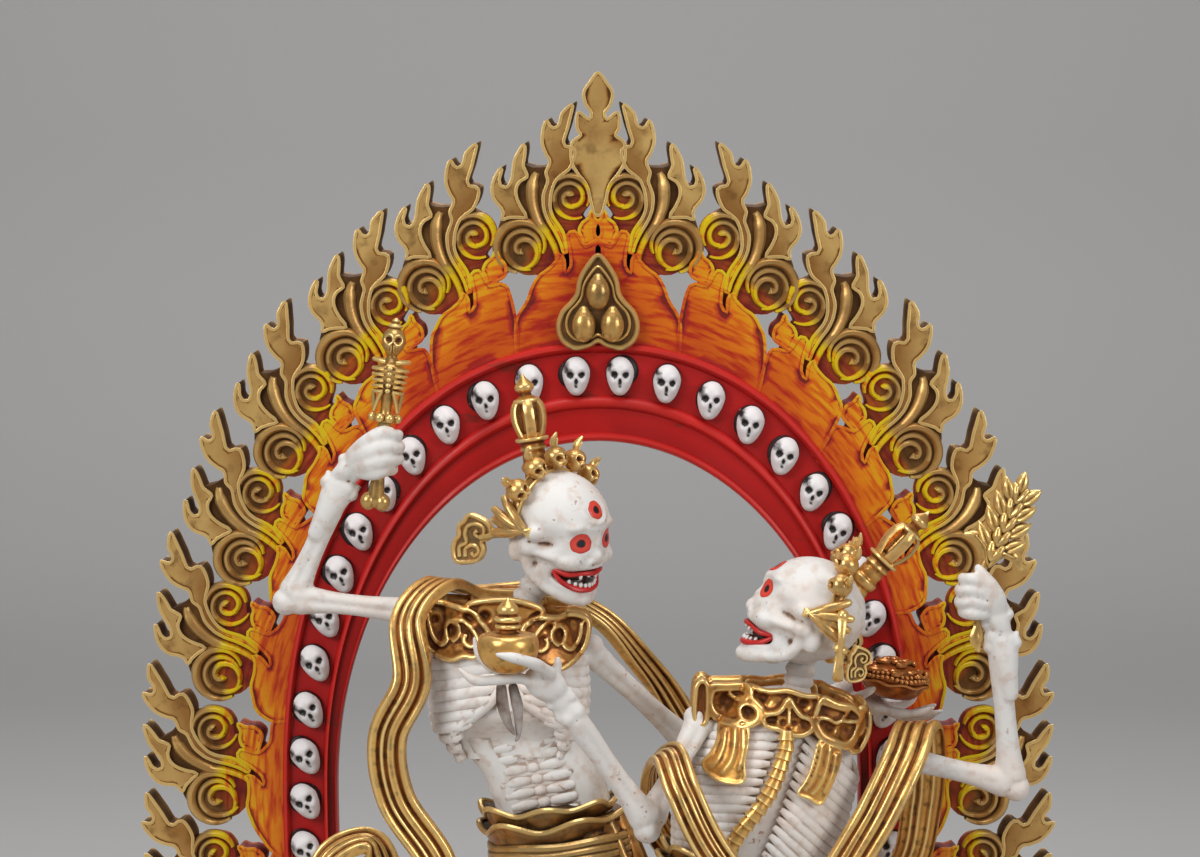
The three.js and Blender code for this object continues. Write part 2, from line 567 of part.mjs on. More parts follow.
// The crown, in the head's own axes: a tiara from ear to ear over the top of the skull, five small skulls
// on it, a sceptre on the topknot behind it, and at each ear a fan of petals and a curled ribbon
function crown({ head, headTurn: turn }, spare = 0) {
  const tiaraY = 5;
  const tiaraRadius = 12.6;
  const tiaraEnd = 97; // degrees from the top of the head
  const onTiara = (degrees, radius) =>
    V(Math.sin(rad(degrees)) * radius, tiaraY, Math.cos(rad(degrees)) * radius);
  const fatter = (profile) => profile.map(([s, r]) => [s, r + spare]);
  const route = Array.from({ length: 9 }, (_, i) => onTiara(tiaraEnd * (i / 4 - 1), tiaraRadius));
  const [half, under, over] = [1.7 + spare, -1.8 - spare, 1.2 + spare];
  const parts = [sweep(route, 9, () => [[-half, under], [half, under], [half, over], [-half, over]],
    (t) => onTiara(tiaraEnd * (2 * t - 1), 1).setY(0))];
  const smallSkull = fatter([[-1, 2], [3.2, 3.4], [5.6, 1.6], [8.4, 0.5]]);
  for (const degrees of [-52, -26, 0, 26, 52]) {
    parts.push(turned(onTiara(degrees, 13), onTiara(degrees, 21), smallSkull, 4));
  }
  const topknot = [[-spare, 3.4], [8, 2.8], [9.6, 3.8], [11.4, 2.4]];
  const sceptre = fatter([...topknot, [14.5, 4.2], [17.5, 4], [21, 1.4], [24, 2], [26.6, 0.6]]);
  parts.push(turned(V(0, 9, 9), V(0, 17.8, 34.1), sceptre, 6));
  parts.push(taper(onTiara(0, 12), V(0, 11, 15), 2.2 + spare, 2.4 + spare, 4));
  const fan = [[-4, -0.6], [1, -4], [8, -4.6], [7.4, -1.4], [10.8, -0.4], [8.4, 1.8], [10, 4.8], [2, 3.6]];
  for (const side of [-1, 1]) {
    const at = (x) => fan.map(([y, z]) =>
      V(side * x, y + Math.sign(y - 3) * spare, z + Math.sign(z) * spare));
    const curl = V(side * 14.4, 15, -6.5);
    parts.push(loft([at(12 - spare), at(15 + spare)]));
    parts.push(taper(V(side * 13.8, 6, -1.5), curl, 1.3 + spare, 1.4 + spare, 4));
    parts.push(egg(curl, V(1.9 + spare, 4.2 + spare, 4.8 + spare), 0));
  }
  return union(parts).transform(headMatrix(head, turn));
}

// The lord's skirt; its fatter copy is one raised and one lowered copy joined
const lordSkirt = (spare = 0) => union([-spare, spare].map((shift) =>
  skirt(V(-3, -5, 127 + shift), V(-4, -5, 97 + shift), 23 + spare, 20 + spare, 8)));

// A fist and the end of the forearm that it closes
const gripping = (wrist, centre, axis, forward) =>
  union([taper(wrist, centre, 3, 3.4), fist(centre, axis, forward)]);

function lordFigure() {
  const p = lord;
  const fingers = [[V(79, 10, 149.4), V(84, 4.5, 151)], [V(79.6, 13, 148.6), V(86, 10, 149.6)],
    [V(77, 17, 149), V(82.5, 18.6, 152.5)]];
  const belly = [V(-20, -8, 146), V(-14, -6, 134), p.waist];
  return union([
    skull(p),
    boneBetween(p.neckBase, p.neckTop, 3.4, 4.2, 4.2, 6, 1),
    ribcage({
      top: p.ribTop, bottom: p.ribFoot, face: toward, topWidth: 17, width: 20.5, depth: 13, ribs: 7,
      narrowing: 0.9,
    }),
    sweep(belly, 4, (t) => round(6, 15 - 2 * t, 9.5 - t), () => toward),
    collar(p.rightShoulder.clone().add(V(2, 0, 1)), p.leftShoulder, V(-0.05, -1, 0), 12, 4),
    lordSkirt(),
    arm(p.rightShoulder, p.rightElbow, p.rightWrist),
    gripping(p.rightWrist, p.rightFist, V(0.12, 0, 0.99), V(0.9, -0.4, -0.1)),
    arm(p.leftShoulder, p.leftElbow, p.leftWrist),
    openHand(p.leftWrist, p.leftPalm, fingers),
    leg(p.rightLeg),
    leg(p.leftLeg)]);
}

function ladyFigure() {
  const p = lady;
  const fingers = [[V(-17.5, -44, 168.4), V(-23, -45.2, 166.4)], [V(-20.5, -43, 163.6), V(-31, -42, 164.6)],
    [V(-20, -40.5, 165.8), V(-26, -39.5, 172.5)]];
  return union([
    skull(p),
    boneBetween(p.neckBase, p.neckTop, 3.4, 4.2, 4, 6, 1),
    ribcage({
      top: p.ribTop, bottom: p.ribFoot, face: V(0.05, -1, 0), topWidth: 19, width: 23.5, depth: 14, ribs: 8,
      narrowing: 1.5,
    }),
    collar(p.rightShoulder.clone().add(V(2, 1, 0)), p.leftShoulder, toward, 10, 5),
    skirt(V(30, -13, 116), V(28, -13, 90), 17, 19, 8),
    arm(p.rightShoulder, p.rightElbow, p.rightWrist),
    openHand(p.rightWrist, p.rightPalm, fingers),
    arm(p.leftShoulder, p.leftElbow, p.leftWrist),
    gripping(p.leftWrist, p.leftFist, V(0.2, 0, 0.98), V(-0.8, -0.6, 0.1)),
    leg(p.rightLeg),
    leg(p.leftLeg)]);
}

// Assembly: each figure is cut to clear the separate pieces that it wears, holds or leans on
const cutClear = (figure, pieces) => pieces.reduce((left, piece) => left.subtract(piece(standGap)), figure);
const lordCrown = (spare = 0) => crown(lord, spare);
const ladyCrown = (spare = 0) => crown(lady, spare);
const lordBody = cutClear(lordFigure(), [lordCrown, lordScarf, boneStaff, skullCup, ladyScarf]);
const ladyBody = cutClear(ladyFigure(), [ladyCrown, ladyScarf, grainStalk, buddedBowl, lordSkirt]);

const root = new THREE.Group();
root.add(
  meshOf('lotus_base', lotusBase(), gold()),
  meshOf('flame_aureole', flameAureole(), flamePaint()),
  meshOf('lord_figure', lordBody, bone()),
  meshOf('lady_figure', ladyBody, bone()),
  meshOf('lord_crown', lordCrown(), gold()),
  meshOf('lady_crown', ladyCrown(), gold()),
  meshOf('lord_scarf', lordScarf(), gold()),
  meshOf('lady_scarf', ladyScarf(), gold()),
  meshOf('bone_staff', boneStaff(), gold()),
  meshOf('grain_stalk', grainStalk(), gold()),
  meshOf('skull_cup', skullCup(), gold()),
  meshOf('budded_bowl', buddedBowl(), gold()),
);

export default root;
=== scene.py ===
"""Chitipati statue: a dancing skeleton couple before a flaming aureole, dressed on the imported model.

Every piece is made in millimetres in the model's own frame and turned to metres as it is finished.
The dancers face -Y, +X is to the viewer's right and +Z is up.
"""
import math
import random

import bmesh
import bpy
import numpy as np
from mathutils import Matrix, Vector
from mathutils.bvhtree import BVHTree


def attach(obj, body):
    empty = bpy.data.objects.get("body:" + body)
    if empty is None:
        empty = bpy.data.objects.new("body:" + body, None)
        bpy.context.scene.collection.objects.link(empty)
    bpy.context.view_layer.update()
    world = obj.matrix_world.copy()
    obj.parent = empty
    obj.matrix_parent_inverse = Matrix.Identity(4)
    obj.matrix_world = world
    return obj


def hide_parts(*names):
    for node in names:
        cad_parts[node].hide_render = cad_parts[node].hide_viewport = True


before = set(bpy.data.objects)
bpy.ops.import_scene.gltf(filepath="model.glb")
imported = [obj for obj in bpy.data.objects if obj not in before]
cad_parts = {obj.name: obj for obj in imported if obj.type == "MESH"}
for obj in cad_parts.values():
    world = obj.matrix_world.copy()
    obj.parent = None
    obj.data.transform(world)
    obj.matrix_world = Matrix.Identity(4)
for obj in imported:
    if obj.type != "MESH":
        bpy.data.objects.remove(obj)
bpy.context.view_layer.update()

# Camera: a long lens a little above the dancers' heads, looking down by five degrees at the upper half
# of the statue.
lens = bpy.data.cameras.new("camera")
lens.lens = 102.7
lens.sensor_width = 36
lens.clip_start = 0.05


def placed(name, data):
    """Puts a mesh, a lamp or a camera in the scene as an object at the origin."""
    made = bpy.data.objects.new(name, data)
    bpy.context.scene.collection.objects.link(made)
    return made


camera = placed("camera", lens)
camera.location = (0.0005, -0.8606, 0.29896)
camera.rotation_euler = (math.radians(85), 0, 0)
bpy.context.scene.camera = camera
bpy.context.scene.view_settings.view_transform = "Standard"

# Stage: a pale grey sweep of paper, flat under the statue and curved up behind it, lit by large soft
# boxes at the left, the right, overhead and behind.
sweep_start, bend_start, bend_radius, wall_height, sweep_half = -2.2, 1.0, 0.6, 2.4, 2.6


def of_kind(items, kind):
    """The vertices or the edges among the items that an operator made."""
    return [item for item in items if isinstance(item, kind)]


def draw_out(bm, edges, move=None, turn=None):
    """Pulls edges into a sheet by a move, or by a (degrees, centre) turn about X; returns its new end."""
    if turn:
        degrees, centre = turn
        made = bmesh.ops.spin(bm, geom=edges, cent=centre, axis=(1, 0, 0),
                              angle=math.radians(degrees), steps=18)
        return of_kind(made["geom_last"], bmesh.types.BMEdge)
    made = bmesh.ops.extrude_edge_only(bm, edges=edges)["geom"]
    bmesh.ops.translate(bm, vec=move, verts=of_kind(made, bmesh.types.BMVert))
    return of_kind(made, bmesh.types.BMEdge)


def as_mesh(name, bm):
    """A mesh of what a bmesh holds; the bmesh is freed."""
    mesh = bpy.data.meshes.new(name)
    bm.to_mesh(mesh)
    bm.free()
    return mesh


class Finish:
    """A paint or metal finish, built up as nodes round one Principled shader."""

    def __init__(self, name, roughness, metallic=0.0, gloss=0.5):
        self.material = bpy.data.materials.new(name)
        self.material.use_nodes = True
        self.tree = self.material.node_tree
        self.shader = self.tree.nodes["Principled BSDF"]
        for socket, value in (("Roughness", roughness), ("Metallic", metallic),
                              ("Specular IOR Level", gloss)):
            self.shader.inputs[socket].default_value = value

    def node(self, kind, **settings):
        """A new shader node with its settings."""
        made = self.tree.nodes.new("ShaderNode" + kind)
        for setting, value in settings.items():
            setattr(made, setting, value)
        return made

    def set(self, socket, value):
        """Gives a socket a value, or what another socket puts out."""
        if isinstance(value, bpy.types.NodeSocket):
            self.tree.links.new(value, socket)
        else:
            socket.default_value = value

    def stored(self, name):
        """A number that is stored on the mesh's vertices."""
        return self.node("Attribute", attribute_name=name).outputs["Fac"]

    def axes(self):
        """The X, Y and Z of the place on the piece, in metres."""
        apart = self.node("SeparateXYZ")
        self.set(apart.inputs[0], self.node("TexCoord").outputs["Object"])
        return apart.outputs

    def noise(self, scale, detail=4.0, stretch=(1, 1, 1), place=None):
        """Cloudy noise over the piece, or over a place given by a socket."""
        node = self.node("TexNoise")
        node.inputs["Scale"].default_value = scale
        node.inputs["Detail"].default_value = detail
        if place is None:
            spread = self.node("Mapping")
            spread.inputs["Scale"].default_value = stretch
            self.set(spread.inputs["Vector"], self.node("TexCoord").outputs["Object"])
            place = spread.outputs["Vector"]
        self.set(node.inputs["Vector"], place)
        return node.outputs["Fac"]

    def worked(self, operation, *values, clamp=False):
        """The result of one sum on values or sockets."""
        node = self.node("Math", operation=operation, use_clamp=clamp)
        for socket, value in zip(node.inputs, values):
            self.set(socket, value)
        return node.outputs["Value"]

    def sum(self, value, factor, offset):
        """value x factor + offset, held between 0 and 1; any of the three may be a socket."""
        return self.worked("MULTIPLY_ADD", value, factor, offset, clamp=True)

    def ramp(self, value, stops):
        """A colour or a grey read off stops of (place, colour or grey)."""
        node = self.node("ValToRGB")
        marks = node.color_ramp.elements
        marks.remove(marks[1])
        for i, (place, colour) in enumerate(stops):
            mark = marks.new(place) if i else marks[0]
            mark.position = place
            mark.color = (*colour, 1) if isinstance(colour, tuple) else (colour, colour, colour, 1)
        self.set(node.inputs["Fac"], value)
        return node.outputs["Color"]

    def mix(self, share, below, above, blend="MIX"):
        """One colour laid over another by a share."""
        node = self.node("Mix", data_type="RGBA", blend_type=blend)
        self.set(node.inputs["Factor"], share)
        for socket, colour in ((node.inputs[6], below), (node.inputs[7], above)):
            self.set(socket, (*colour, 1) if isinstance(colour, tuple) else colour)
        return node.outputs[2]

    def blotted(self, tone, noise, stops, colour):
        """A tone with blots of another colour, where noise lies high enough on a ramp."""
        return self.mix(self.ramp(self.noise(*noise), stops), tone, colour)

    def coat(self, colour, grain_scale, grain_height, roughness=None):
        """Puts the colour on and roughens the surface with a fine grain."""
        self.set(self.shader.inputs["Base Color"], colour)
        if roughness is not None:
            self.set(self.shader.inputs["Roughness"], roughness)
        bump = self.node("Bump")
        bump.inputs["Strength"].default_value = 1.0
        bump.inputs["Distance"].default_value = grain_height
        self.set(bump.inputs["Height"], self.noise(grain_scale, 6.0))
        self.set(self.shader.inputs["Normal"], bump.outputs["Normal"])
        return self.material


paper = bmesh.new()
leading = [paper.edges.new([paper.verts.new((side * sweep_half, sweep_start, 0)) for side in (-1, 1)])]
leading = draw_out(paper, leading, move=(0, bend_start - sweep_start, 0))
leading = draw_out(paper, leading, turn=(90, (0, bend_start, bend_radius)))
draw_out(paper, leading, move=(0, 0, wall_height))
bmesh.ops.recalc_face_normals(paper, faces=paper.faces[:])
paper_mesh = as_mesh("paper_sweep", paper)
paper_mesh.shade_smooth()
grey_paper = Finish("grey_paper", 0.9)
paper_axes = grey_paper.axes()
along_paper = grey_paper.sum(paper_axes["Y"], 0.4, grey_paper.sum(paper_axes["Z"], 0.4, 0.0))
# the paper's grey is painted darker and lighter along the floor and up the wall: painted light and shade,
# standing in for how the soft boxes' light falls off
painted_falloff = ((0.224, 0.845), (0.284, 0.793), (0.36, 0.758), (0.444, 0.85), (0.498, 0.95), (0.54, 1.01),
         (0.58, 1.07), (0.65, 1.14), (0.72, 1.17), (0.78, 1.265))
paper_painted_light = grey_paper.ramp(along_paper, [(spot, (0.5 * shade, 0.493 * shade, 0.487 * shade))
    for spot, shade in painted_falloff])
grey_paper.set(grey_paper.shader.inputs["Base Color"], paper_painted_light)
paper_mesh.materials.append(grey_paper.material)
paper_sweep = placed("paper_sweep", paper_mesh)

for name, place, size, power in (
        ("left_box", (-0.75, -0.8, 0.75), 0.5, 7.4), ("right_box", (0.85, -0.75, 0.5), 0.45, 4.2),
        ("top_box", (0.0, -0.25, 1.15), 0.6, 5.4), ("back_box", (0.0, 0.75, 1.2), 0.8, 6.0)):
    lamp = bpy.data.lights.new(name, "AREA")
    lamp.size = size
    lamp.energy = power
    box = placed(name, lamp)
    box.location = place
    box.rotation_euler = (Vector(place) - Vector((0, 0, 0.2))).to_track_quat("Z", "Y").to_euler()
world = bpy.data.worlds.new("room")
world.use_nodes = True
room_light = world.node_tree.nodes["Background"].inputs
room_light["Color"].default_value = (0.62, 0.62, 0.63, 1)
room_light["Strength"].default_value = 0.33
bpy.context.scene.world = world

# Lotus base: a low oval stand cast in copper and gilded, with a row of petals turned down, a row turned
# up, a string of beads over them and a flat top that the dancers and the aureole are soldered to.
base_half, base_depth, base_squareness = 98, 54, 3.2
base_top = 34


def squarish(angle, half, rise, squareness):
    """A point of an oval with squared corners, at an angle, from its two half sizes."""
    c, s = math.cos(angle), math.sin(angle)
    power = 2 / squareness
    return math.copysign(abs(c) ** power, c) * half, math.copysign(abs(s) ** power, s) * rise


def oval(angle, share, height):
    """A point on the base's outline, at a share of its full size."""
    x, y = squarish(angle, base_half, base_depth, base_squareness)
    return Vector((x * share, y * share, height))


def angles(count):
    """Angles evenly round a circle."""
    return [2 * math.pi * k / count for k in range(count)]


def ring_of(bm, points):
    """A closed ring through points, as its vertices and its edges."""
    verts = [bm.verts.new(point) for point in points]
    return verts, [bm.edges.new((verts[i - 1], verts[i])) for i in range(len(verts))]


def close_tube(bm, first, last):
    """Fills both ends of a tube and turns its faces outwards."""
    bmesh.ops.contextual_create(bm, geom=first)
    bmesh.ops.contextual_create(bm, geom=last)
    bmesh.ops.recalc_face_normals(bm, faces=bm.faces[:])


def drum(levels):
    """A solid oval drum whose size changes up its levels of (height, share)."""
    bm = bmesh.new()
    height, share = levels[0]
    first = last = ring_of(bm, [oval(a, share, height) for a in angles(160)])[1]
    for (low, before), (high, after) in zip(levels, levels[1:]):
        made = bmesh.ops.extrude_edge_only(bm, edges=last)["geom"]
        verts = of_kind(made, bmesh.types.BMVert)
        bmesh.ops.scale(bm, vec=(after / before, after / before, 1), verts=verts)
        bmesh.ops.translate(bm, vec=(0, 0, high - low), verts=verts)
        last = of_kind(made, bmesh.types.BMEdge)
    close_tube(bm, first, last)
    return bm


def join(parts):
    """One bmesh of several parts; a part is a bmesh, or a mesh with the matrix that places it."""
    whole = bmesh.new()
    for part in parts:
        if isinstance(part, tuple):
            copy = part[0].copy()
            copy.transform(part[1])
            if part[1].determinant() < 0:
                copy.flip_normals()
        else:
            copy = as_mesh("part", part)
        whole.from_mesh(copy)
        bpy.data.meshes.remove(copy)
    return whole


def ball(spokes, levels, matrix=Matrix.Identity(4)):
    """A round ball of radius 1, or what a matrix makes of it."""
    bm = bmesh.new()
    bmesh.ops.create_uvsphere(bm, u_segments=spokes, v_segments=levels, radius=1, matrix=matrix)
    return bm


def occlusion_and_ridges(mesh, reach, groove_shading=1.5):
    """Stores what the finishes read on each vertex.

    Open is how free it lies, 0 in a crevice or groove, as seen by rays of a reach: an ambient occlusion,
    which the finishes turn into painted shade; ridge is how sharp a ridge it is on. bite is how much a groove
    deepens that painted shade.
    """
    flattest, most_bend, groove_start, least_open = 1e-4, 1.5, 0.04, 0.12
    ray_lift, ray_lean, golden_turn = 0.05, 0.97, 2.4
    count = len(mesh.vertices)
    places = np.empty(count * 3)
    normals = np.empty(count * 3)
    mesh.vertices.foreach_get("co", places)
    mesh.vertices.foreach_get("normal", normals)
    places, normals = places.reshape(-1, 3), normals.reshape(-1, 3)
    pairs = np.empty(len(mesh.edges) * 2, np.int32)
    mesh.edges.foreach_get("vertices", pairs)
    one, other = pairs.reshape(-1, 2).T
    between = places[other] - places[one]
    bend = ((normals[other] - normals[one]) * between).sum(1) / np.maximum((between ** 2).sum(1), flattest)
    total, near = np.zeros(count), np.full(count, 1e-6)
    for end in (one, other):
        np.add.at(total, end, bend)
        np.add.at(near, end, 1)
    ridge = np.clip(total / near, -most_bend, most_bend)
    mesh.attributes.new("ridge", "FLOAT", "POINT").data.foreach_set("value", ridge.astype(np.float32))
    groove = np.minimum(ridge + groove_start, 0.0)
    for _ in range(2):
        spread_out = groove.copy()
        for end, far in ((one, other), (other, one)):
            np.add.at(spread_out, end, groove[far])
        groove = spread_out / (near + 1)
    solid = bmesh.new()
    solid.from_mesh(mesh)
    shape = BVHTree.FromBMesh(solid)
    solid.free()
    rays = 10
    spread = []
    for i in range(rays):
        z = 1 - (2 * i + 1) / rays
        wide = math.sqrt(1 - z * z)
        spread.append(Vector((math.cos(golden_turn * i) * wide, math.sin(golden_turn * i) * wide, z)))
    open_share = np.empty(count, np.float32)
    for i, (place, normal) in enumerate(zip(places.tolist(), normals.tolist())):
        normal = Vector(normal)
        start = Vector(place) + normal * ray_lift
        free = 0
        for lean in spread:
            gone = shape.ray_cast(start, normal + lean * ray_lean, reach)[3]
            free += 1 if gone is None else gone / reach
        open_share[i] = free / rays
    # grooves lower the open share further, which the finishes paint as shade
    open_share *= np.clip(1 + groove_shading * groove, least_open, 1.0)
    mesh.attributes.new("open", "FLOAT", "POINT").data.foreach_set("value", open_share.astype(np.float32))


def piece(name, parts, finish, stands_for=(), reach=3.0, groove_shading=1.5):
    """Joins parts into one finished piece in metres, with its finish, on the statue's one body."""
    mesh = as_mesh(name, join(parts))
    mesh.set_sharp_from_angle(angle=math.radians(40))
    if "open" not in mesh.attributes:
        occlusion_and_ridges(mesh, reach, groove_shading)
    mesh.transform(Matrix.Scale(0.001, 4))  # millimetres to metres
    mesh.materials.append(finish)
    made = placed(name, mesh)
    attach(made, "root")
    if stands_for:
        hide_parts(*stands_for)


def gilded(name, low, stain, body, bright):
    """Matte gold, rubbed bright on its ridges, with brown wax and painted shade in its hollows, both read off
    the occlusion.
    """
    gold = Finish(name, 0.4, metallic=0.62)
    # worn is high where the gold lies open and low in hollows; the hollows go from wax brown to near black,
    # partly real wax and partly painted shade
    worn = gold.sum(gold.noise(260, 5), 0.36, gold.sum(gold.stored("open"), 1.6, -0.66))
    tone = gold.ramp(worn, ((0.08, low), (0.34, stain), (0.62, body), (1.0, tuple(c * 1.12 for c in body))))
    rubbed = gold.sum(gold.stored("ridge"), 0.9, gold.sum(gold.noise(90, 3), 0.6, -0.42))
    tone = gold.blotted(tone, (80, 6), ((0.44, 0.0), (0.68, 0.8)), stain)
    tone = gold.blotted(tone, (420, 5), ((0.52, 0.0), (0.66, 0.6)), low)
    tone = gold.mix(gold.sum(rubbed, gold.stored("open"), 0.0), tone, bright)
    return gold.coat(tone, 900, 0.00005, gold.ramp(worn, ((0.2, 0.6), (0.8, 0.28))))


gilding = gilded("rubbed_gilding", (0.025, 0.009, 0.003), (0.17, 0.06, 0.014), (0.48, 0.25, 0.062),
                 (0.88, 0.63, 0.24))


def leaf(width, height, bulge, tip_out):
    """One lotus petal, facing -Y from the origin: a swollen leaf with a smaller one raised on it."""
    parts = []
    for share, forward in ((1.0, 0.0), (0.62, 0.42)):
        bm = ball(14, 9)
        for vert in bm.verts:
            rise = vert.co.z
            upper = max(0.0, rise) ** 2
            vert.co = Vector((vert.co.x * (1 - 0.5 * upper) * width / 2 * share,
                              (vert.co.y - forward) * bulge * (0.55 + 0.45 * share) - tip_out * upper,
                              rise * height / 2 * share + height / 2 - (1 - share) * height * 0.06))
        parts.append(bm)
    return parts


def around(count, share, height, offset=0.0):
    """Places spaced evenly round the oval, each with its outward direction."""
    fine = [oval(2 * math.pi * i / 720, share, height) for i in range(721)]
    gone = [0.0]
    for a, b in zip(fine, fine[1:]):
        gone.append(gone[-1] + (b - a).length)
    spots = []
    for k in range(count):
        wanted = (k + offset) / count * gone[-1]
        i = next(i for i in range(720) if gone[i + 1] >= wanted)
        ahead = (fine[i + 1] - fine[i]).normalized()
        spots.append((fine[i].lerp(fine[i + 1], (wanted - gone[i]) / (gone[i + 1] - gone[i])),
                      Vector((ahead.y, -ahead.x, 0))))
    return spots


def upright(place, outward, flip=False):
    """The matrix that stands a part made at the origin, facing -Y, at a place with its face outward."""
    down = -1 if flip else 1
    side = Vector((0, 0, 1)).cross(-outward)
    matrix = Matrix((side * down, -outward, Vector((0, 0, down)))).transposed().to_4x4()
    matrix.translation = place
    return matrix


petal_mesh = as_mesh("petal", join(leaf(13.4, 12.5, 2.6, 1.5)))
bead = bmesh.new()
bmesh.ops.create_icosphere(bead, subdivisions=2, radius=1.35)
bead_mesh = as_mesh("bead", bead)
petals, beads = 44, 170
base_parts = [drum([(0, 0.985), (0.8, 1.0), (3.2, 1.0), (4.2, 0.985), (4.6, 0.93), (9, 0.93), (15.5, 0.83),
                    (17.5, 0.83), (26, 0.9), (27.2, 0.93), (28.0, 0.93), (28.4, 0.885), (31.0, 0.885),
                    (31.6, 0.9), (33.4, 0.9), (base_top, 0.89), (base_top, 0.86), (33.5, 0.85),
                    (33.5, 0.02)])]
for share, height, flip in ((0.955, 16.0, True), (0.925, 17.0, False)):
    for inset, offset, size in ((0.035, 0.0, 1.0), (0.055, 0.5, 0.94)):
        base_parts += [(petal_mesh, upright(place, outward, flip) @ Matrix.Scale(size, 4))
                       for place, outward in around(petals, share - inset, height, offset)]
base_parts += [(bead_mesh, Matrix.Translation(place)) for place, outward in around(beads, 0.89, 29.7)]
piece("lotus_stand", base_parts, gilding, ["lotus_base"], reach=4.0)

# Aureole band: one oval casting, lacquered red, with a bead along its inner edge, a flat, a ridge, a sunk
# channel for the skulls and an outer ridge; its two feet stand on the base.
arch_centre, arch_front, arch_thick = 127.4, 26.0, 4.6
inner_arch = (68.4, 90.7, 190, 2.0)  # half width, rise above and fall below the widest line, squareness
ridge_arch = (71.3, 101.4, 192, 2.1)
skull_arch = (77, 108.7, 190, 2.15)
rim_arch = (82.4, 116, 190, 2.2)
scroll_arch = (100, 142.5, 200, 2.15)


def on_arch(arch, degrees):
    """The (x, z) point of an arch at an angle; 90 is the top."""
    half, rise, fall, squareness = arch
    angle = math.radians(degrees)
    x, z = squarish(angle, half, rise if math.sin(angle) > 0 else fall, squareness)
    return Vector((x, arch_centre + z))


def along_arch(arch, length):
    """The point of an arch's right half at a length from its top, and the angle of its outward normal."""
    last, gone, degrees = on_arch(arch, 90), 0.0, 90
    while True:
        degrees -= 0.25
        here = on_arch(arch, degrees)
        gone += (here - last).length
        if gone >= length:
            return here, math.atan2(here.x - last.x, last.y - here.y)
        last = here


def swept(rings):
    """Skins a row of rings of points: the first is drawn out to each in turn, and the ends are filled."""
    bm = bmesh.new()
    ring, first = ring_of(bm, rings[0])
    last = first
    for points in rings[1:]:
        made = bmesh.ops.extrude_edge_only(bm, edges=last)["geom"]
        last = of_kind(made, bmesh.types.BMEdge)
        fresh = set(of_kind(made, bmesh.types.BMVert))
        ring = [next(edge.other_vert(v) for edge in v.link_edges if edge.other_vert(v) in fresh)
                for v in ring]
        for vert, point in zip(ring, points):
            vert.co = point
    close_tube(bm, first, last)
    return bm


def band_section(degrees):
    """The band's section at an angle: points in the aureole's plane, with depths behind its front."""
    inner, ridge, rim = (on_arch(arch, degrees) for arch in (inner_arch, ridge_arch, rim_arch))
    within = ((0, arch_thick), (0, 0), (0.03, -1), (0.1, -1.3), (0.18, -1), (0.22, -0.1), (0.6, -0.2),
              (0.8, -0.3), (0.83, -1), (0.9, -1.55), (0.99, -1.5))
    beyond = ((0.05, -0.9), (0.09, 0.4), (0.5, 0.65), (0.84, 0.5), (0.88, -0.8), (0.93, -1.35), (0.985, -1.2),
              (1.02, -0.4), (1.03, arch_thick))
    return ([(inner.lerp(ridge, share), depth) for share, depth in within]
            + [(ridge.lerp(rim, share), depth) for share, depth in beyond])


foot_angle, band_steps = -31.3, 220
rings = [[Vector((at.x, arch_front + depth, max(at.y, base_top)))
          for at, depth in band_section(180 - foot_angle + (2 * foot_angle - 180) * i / band_steps)]
         for i in range(band_steps + 1)]
# the lacquer is deep red and glossy, worn dull on the ridges, and painted near black in the grooves as shade,
# by how open each point lies
red = Finish("red_lacquer", 0.4, gloss=0.28)
tone = red.ramp(red.sum(red.stored("open"), 1.3, -0.4),
                ((0.0, (0.02, 0.003, 0.003)), (0.4, (0.2, 0.006, 0.005)), (0.85, (0.5, 0.011, 0.01))))
tone = red.blotted(tone, (38, 6, (1, 1, 1.6)), ((0.5, 0.0), (0.72, 0.6)), (0.32, 0.009, 0.008))
tone = red.blotted(tone, (55, 8, (1, 1, 3.5)), ((0.655, 0.0), (0.69, 0.55)), (0.12, 0.02, 0.012))
worn = red.sum(red.stored("ridge"), 0.55, red.sum(red.noise(120, 4), 0.7, -0.55))
tone = red.mix(worn, tone, (0.6, 0.05, 0.03))
red_lacquer = red.coat(tone, 500, 0.00006, red.ramp(red.noise(60, 4), ((0.3, 0.32), (0.7, 0.5))))
piece("aureole_band", [swept(rings)], red_lacquer, ["flame_aureole"])

# Small skulls: three dozen, cast on the band's channel at even steps, painted white with black round the back
# of the head, the eyes and the mouth, each on a black blot. Grey halos round the eyes and the nose, grey on
# the cranium's sides and grey in the hollows are painted shade.
skulls_per_side, skull_step = 18, 12.2
face_first = Matrix.Rotation(math.pi / 2, 4, "X")  # lays a ball's poles along Y, one of them in the face


def dent(place, centre, size, depth):
    """How far a soft dent at a centre pushes a point in; negative depth raises a bump."""
    return depth * math.exp(-((place.x - centre[0]) ** 2 + (place.z - centre[1]) ** 2) / size ** 2)


def dents(place, x, z, size, depth):
    """The same for a pair of like dents, one at either side."""
    return sum(dent(place, (side * x, z), size, depth) for side in (-1, 1))


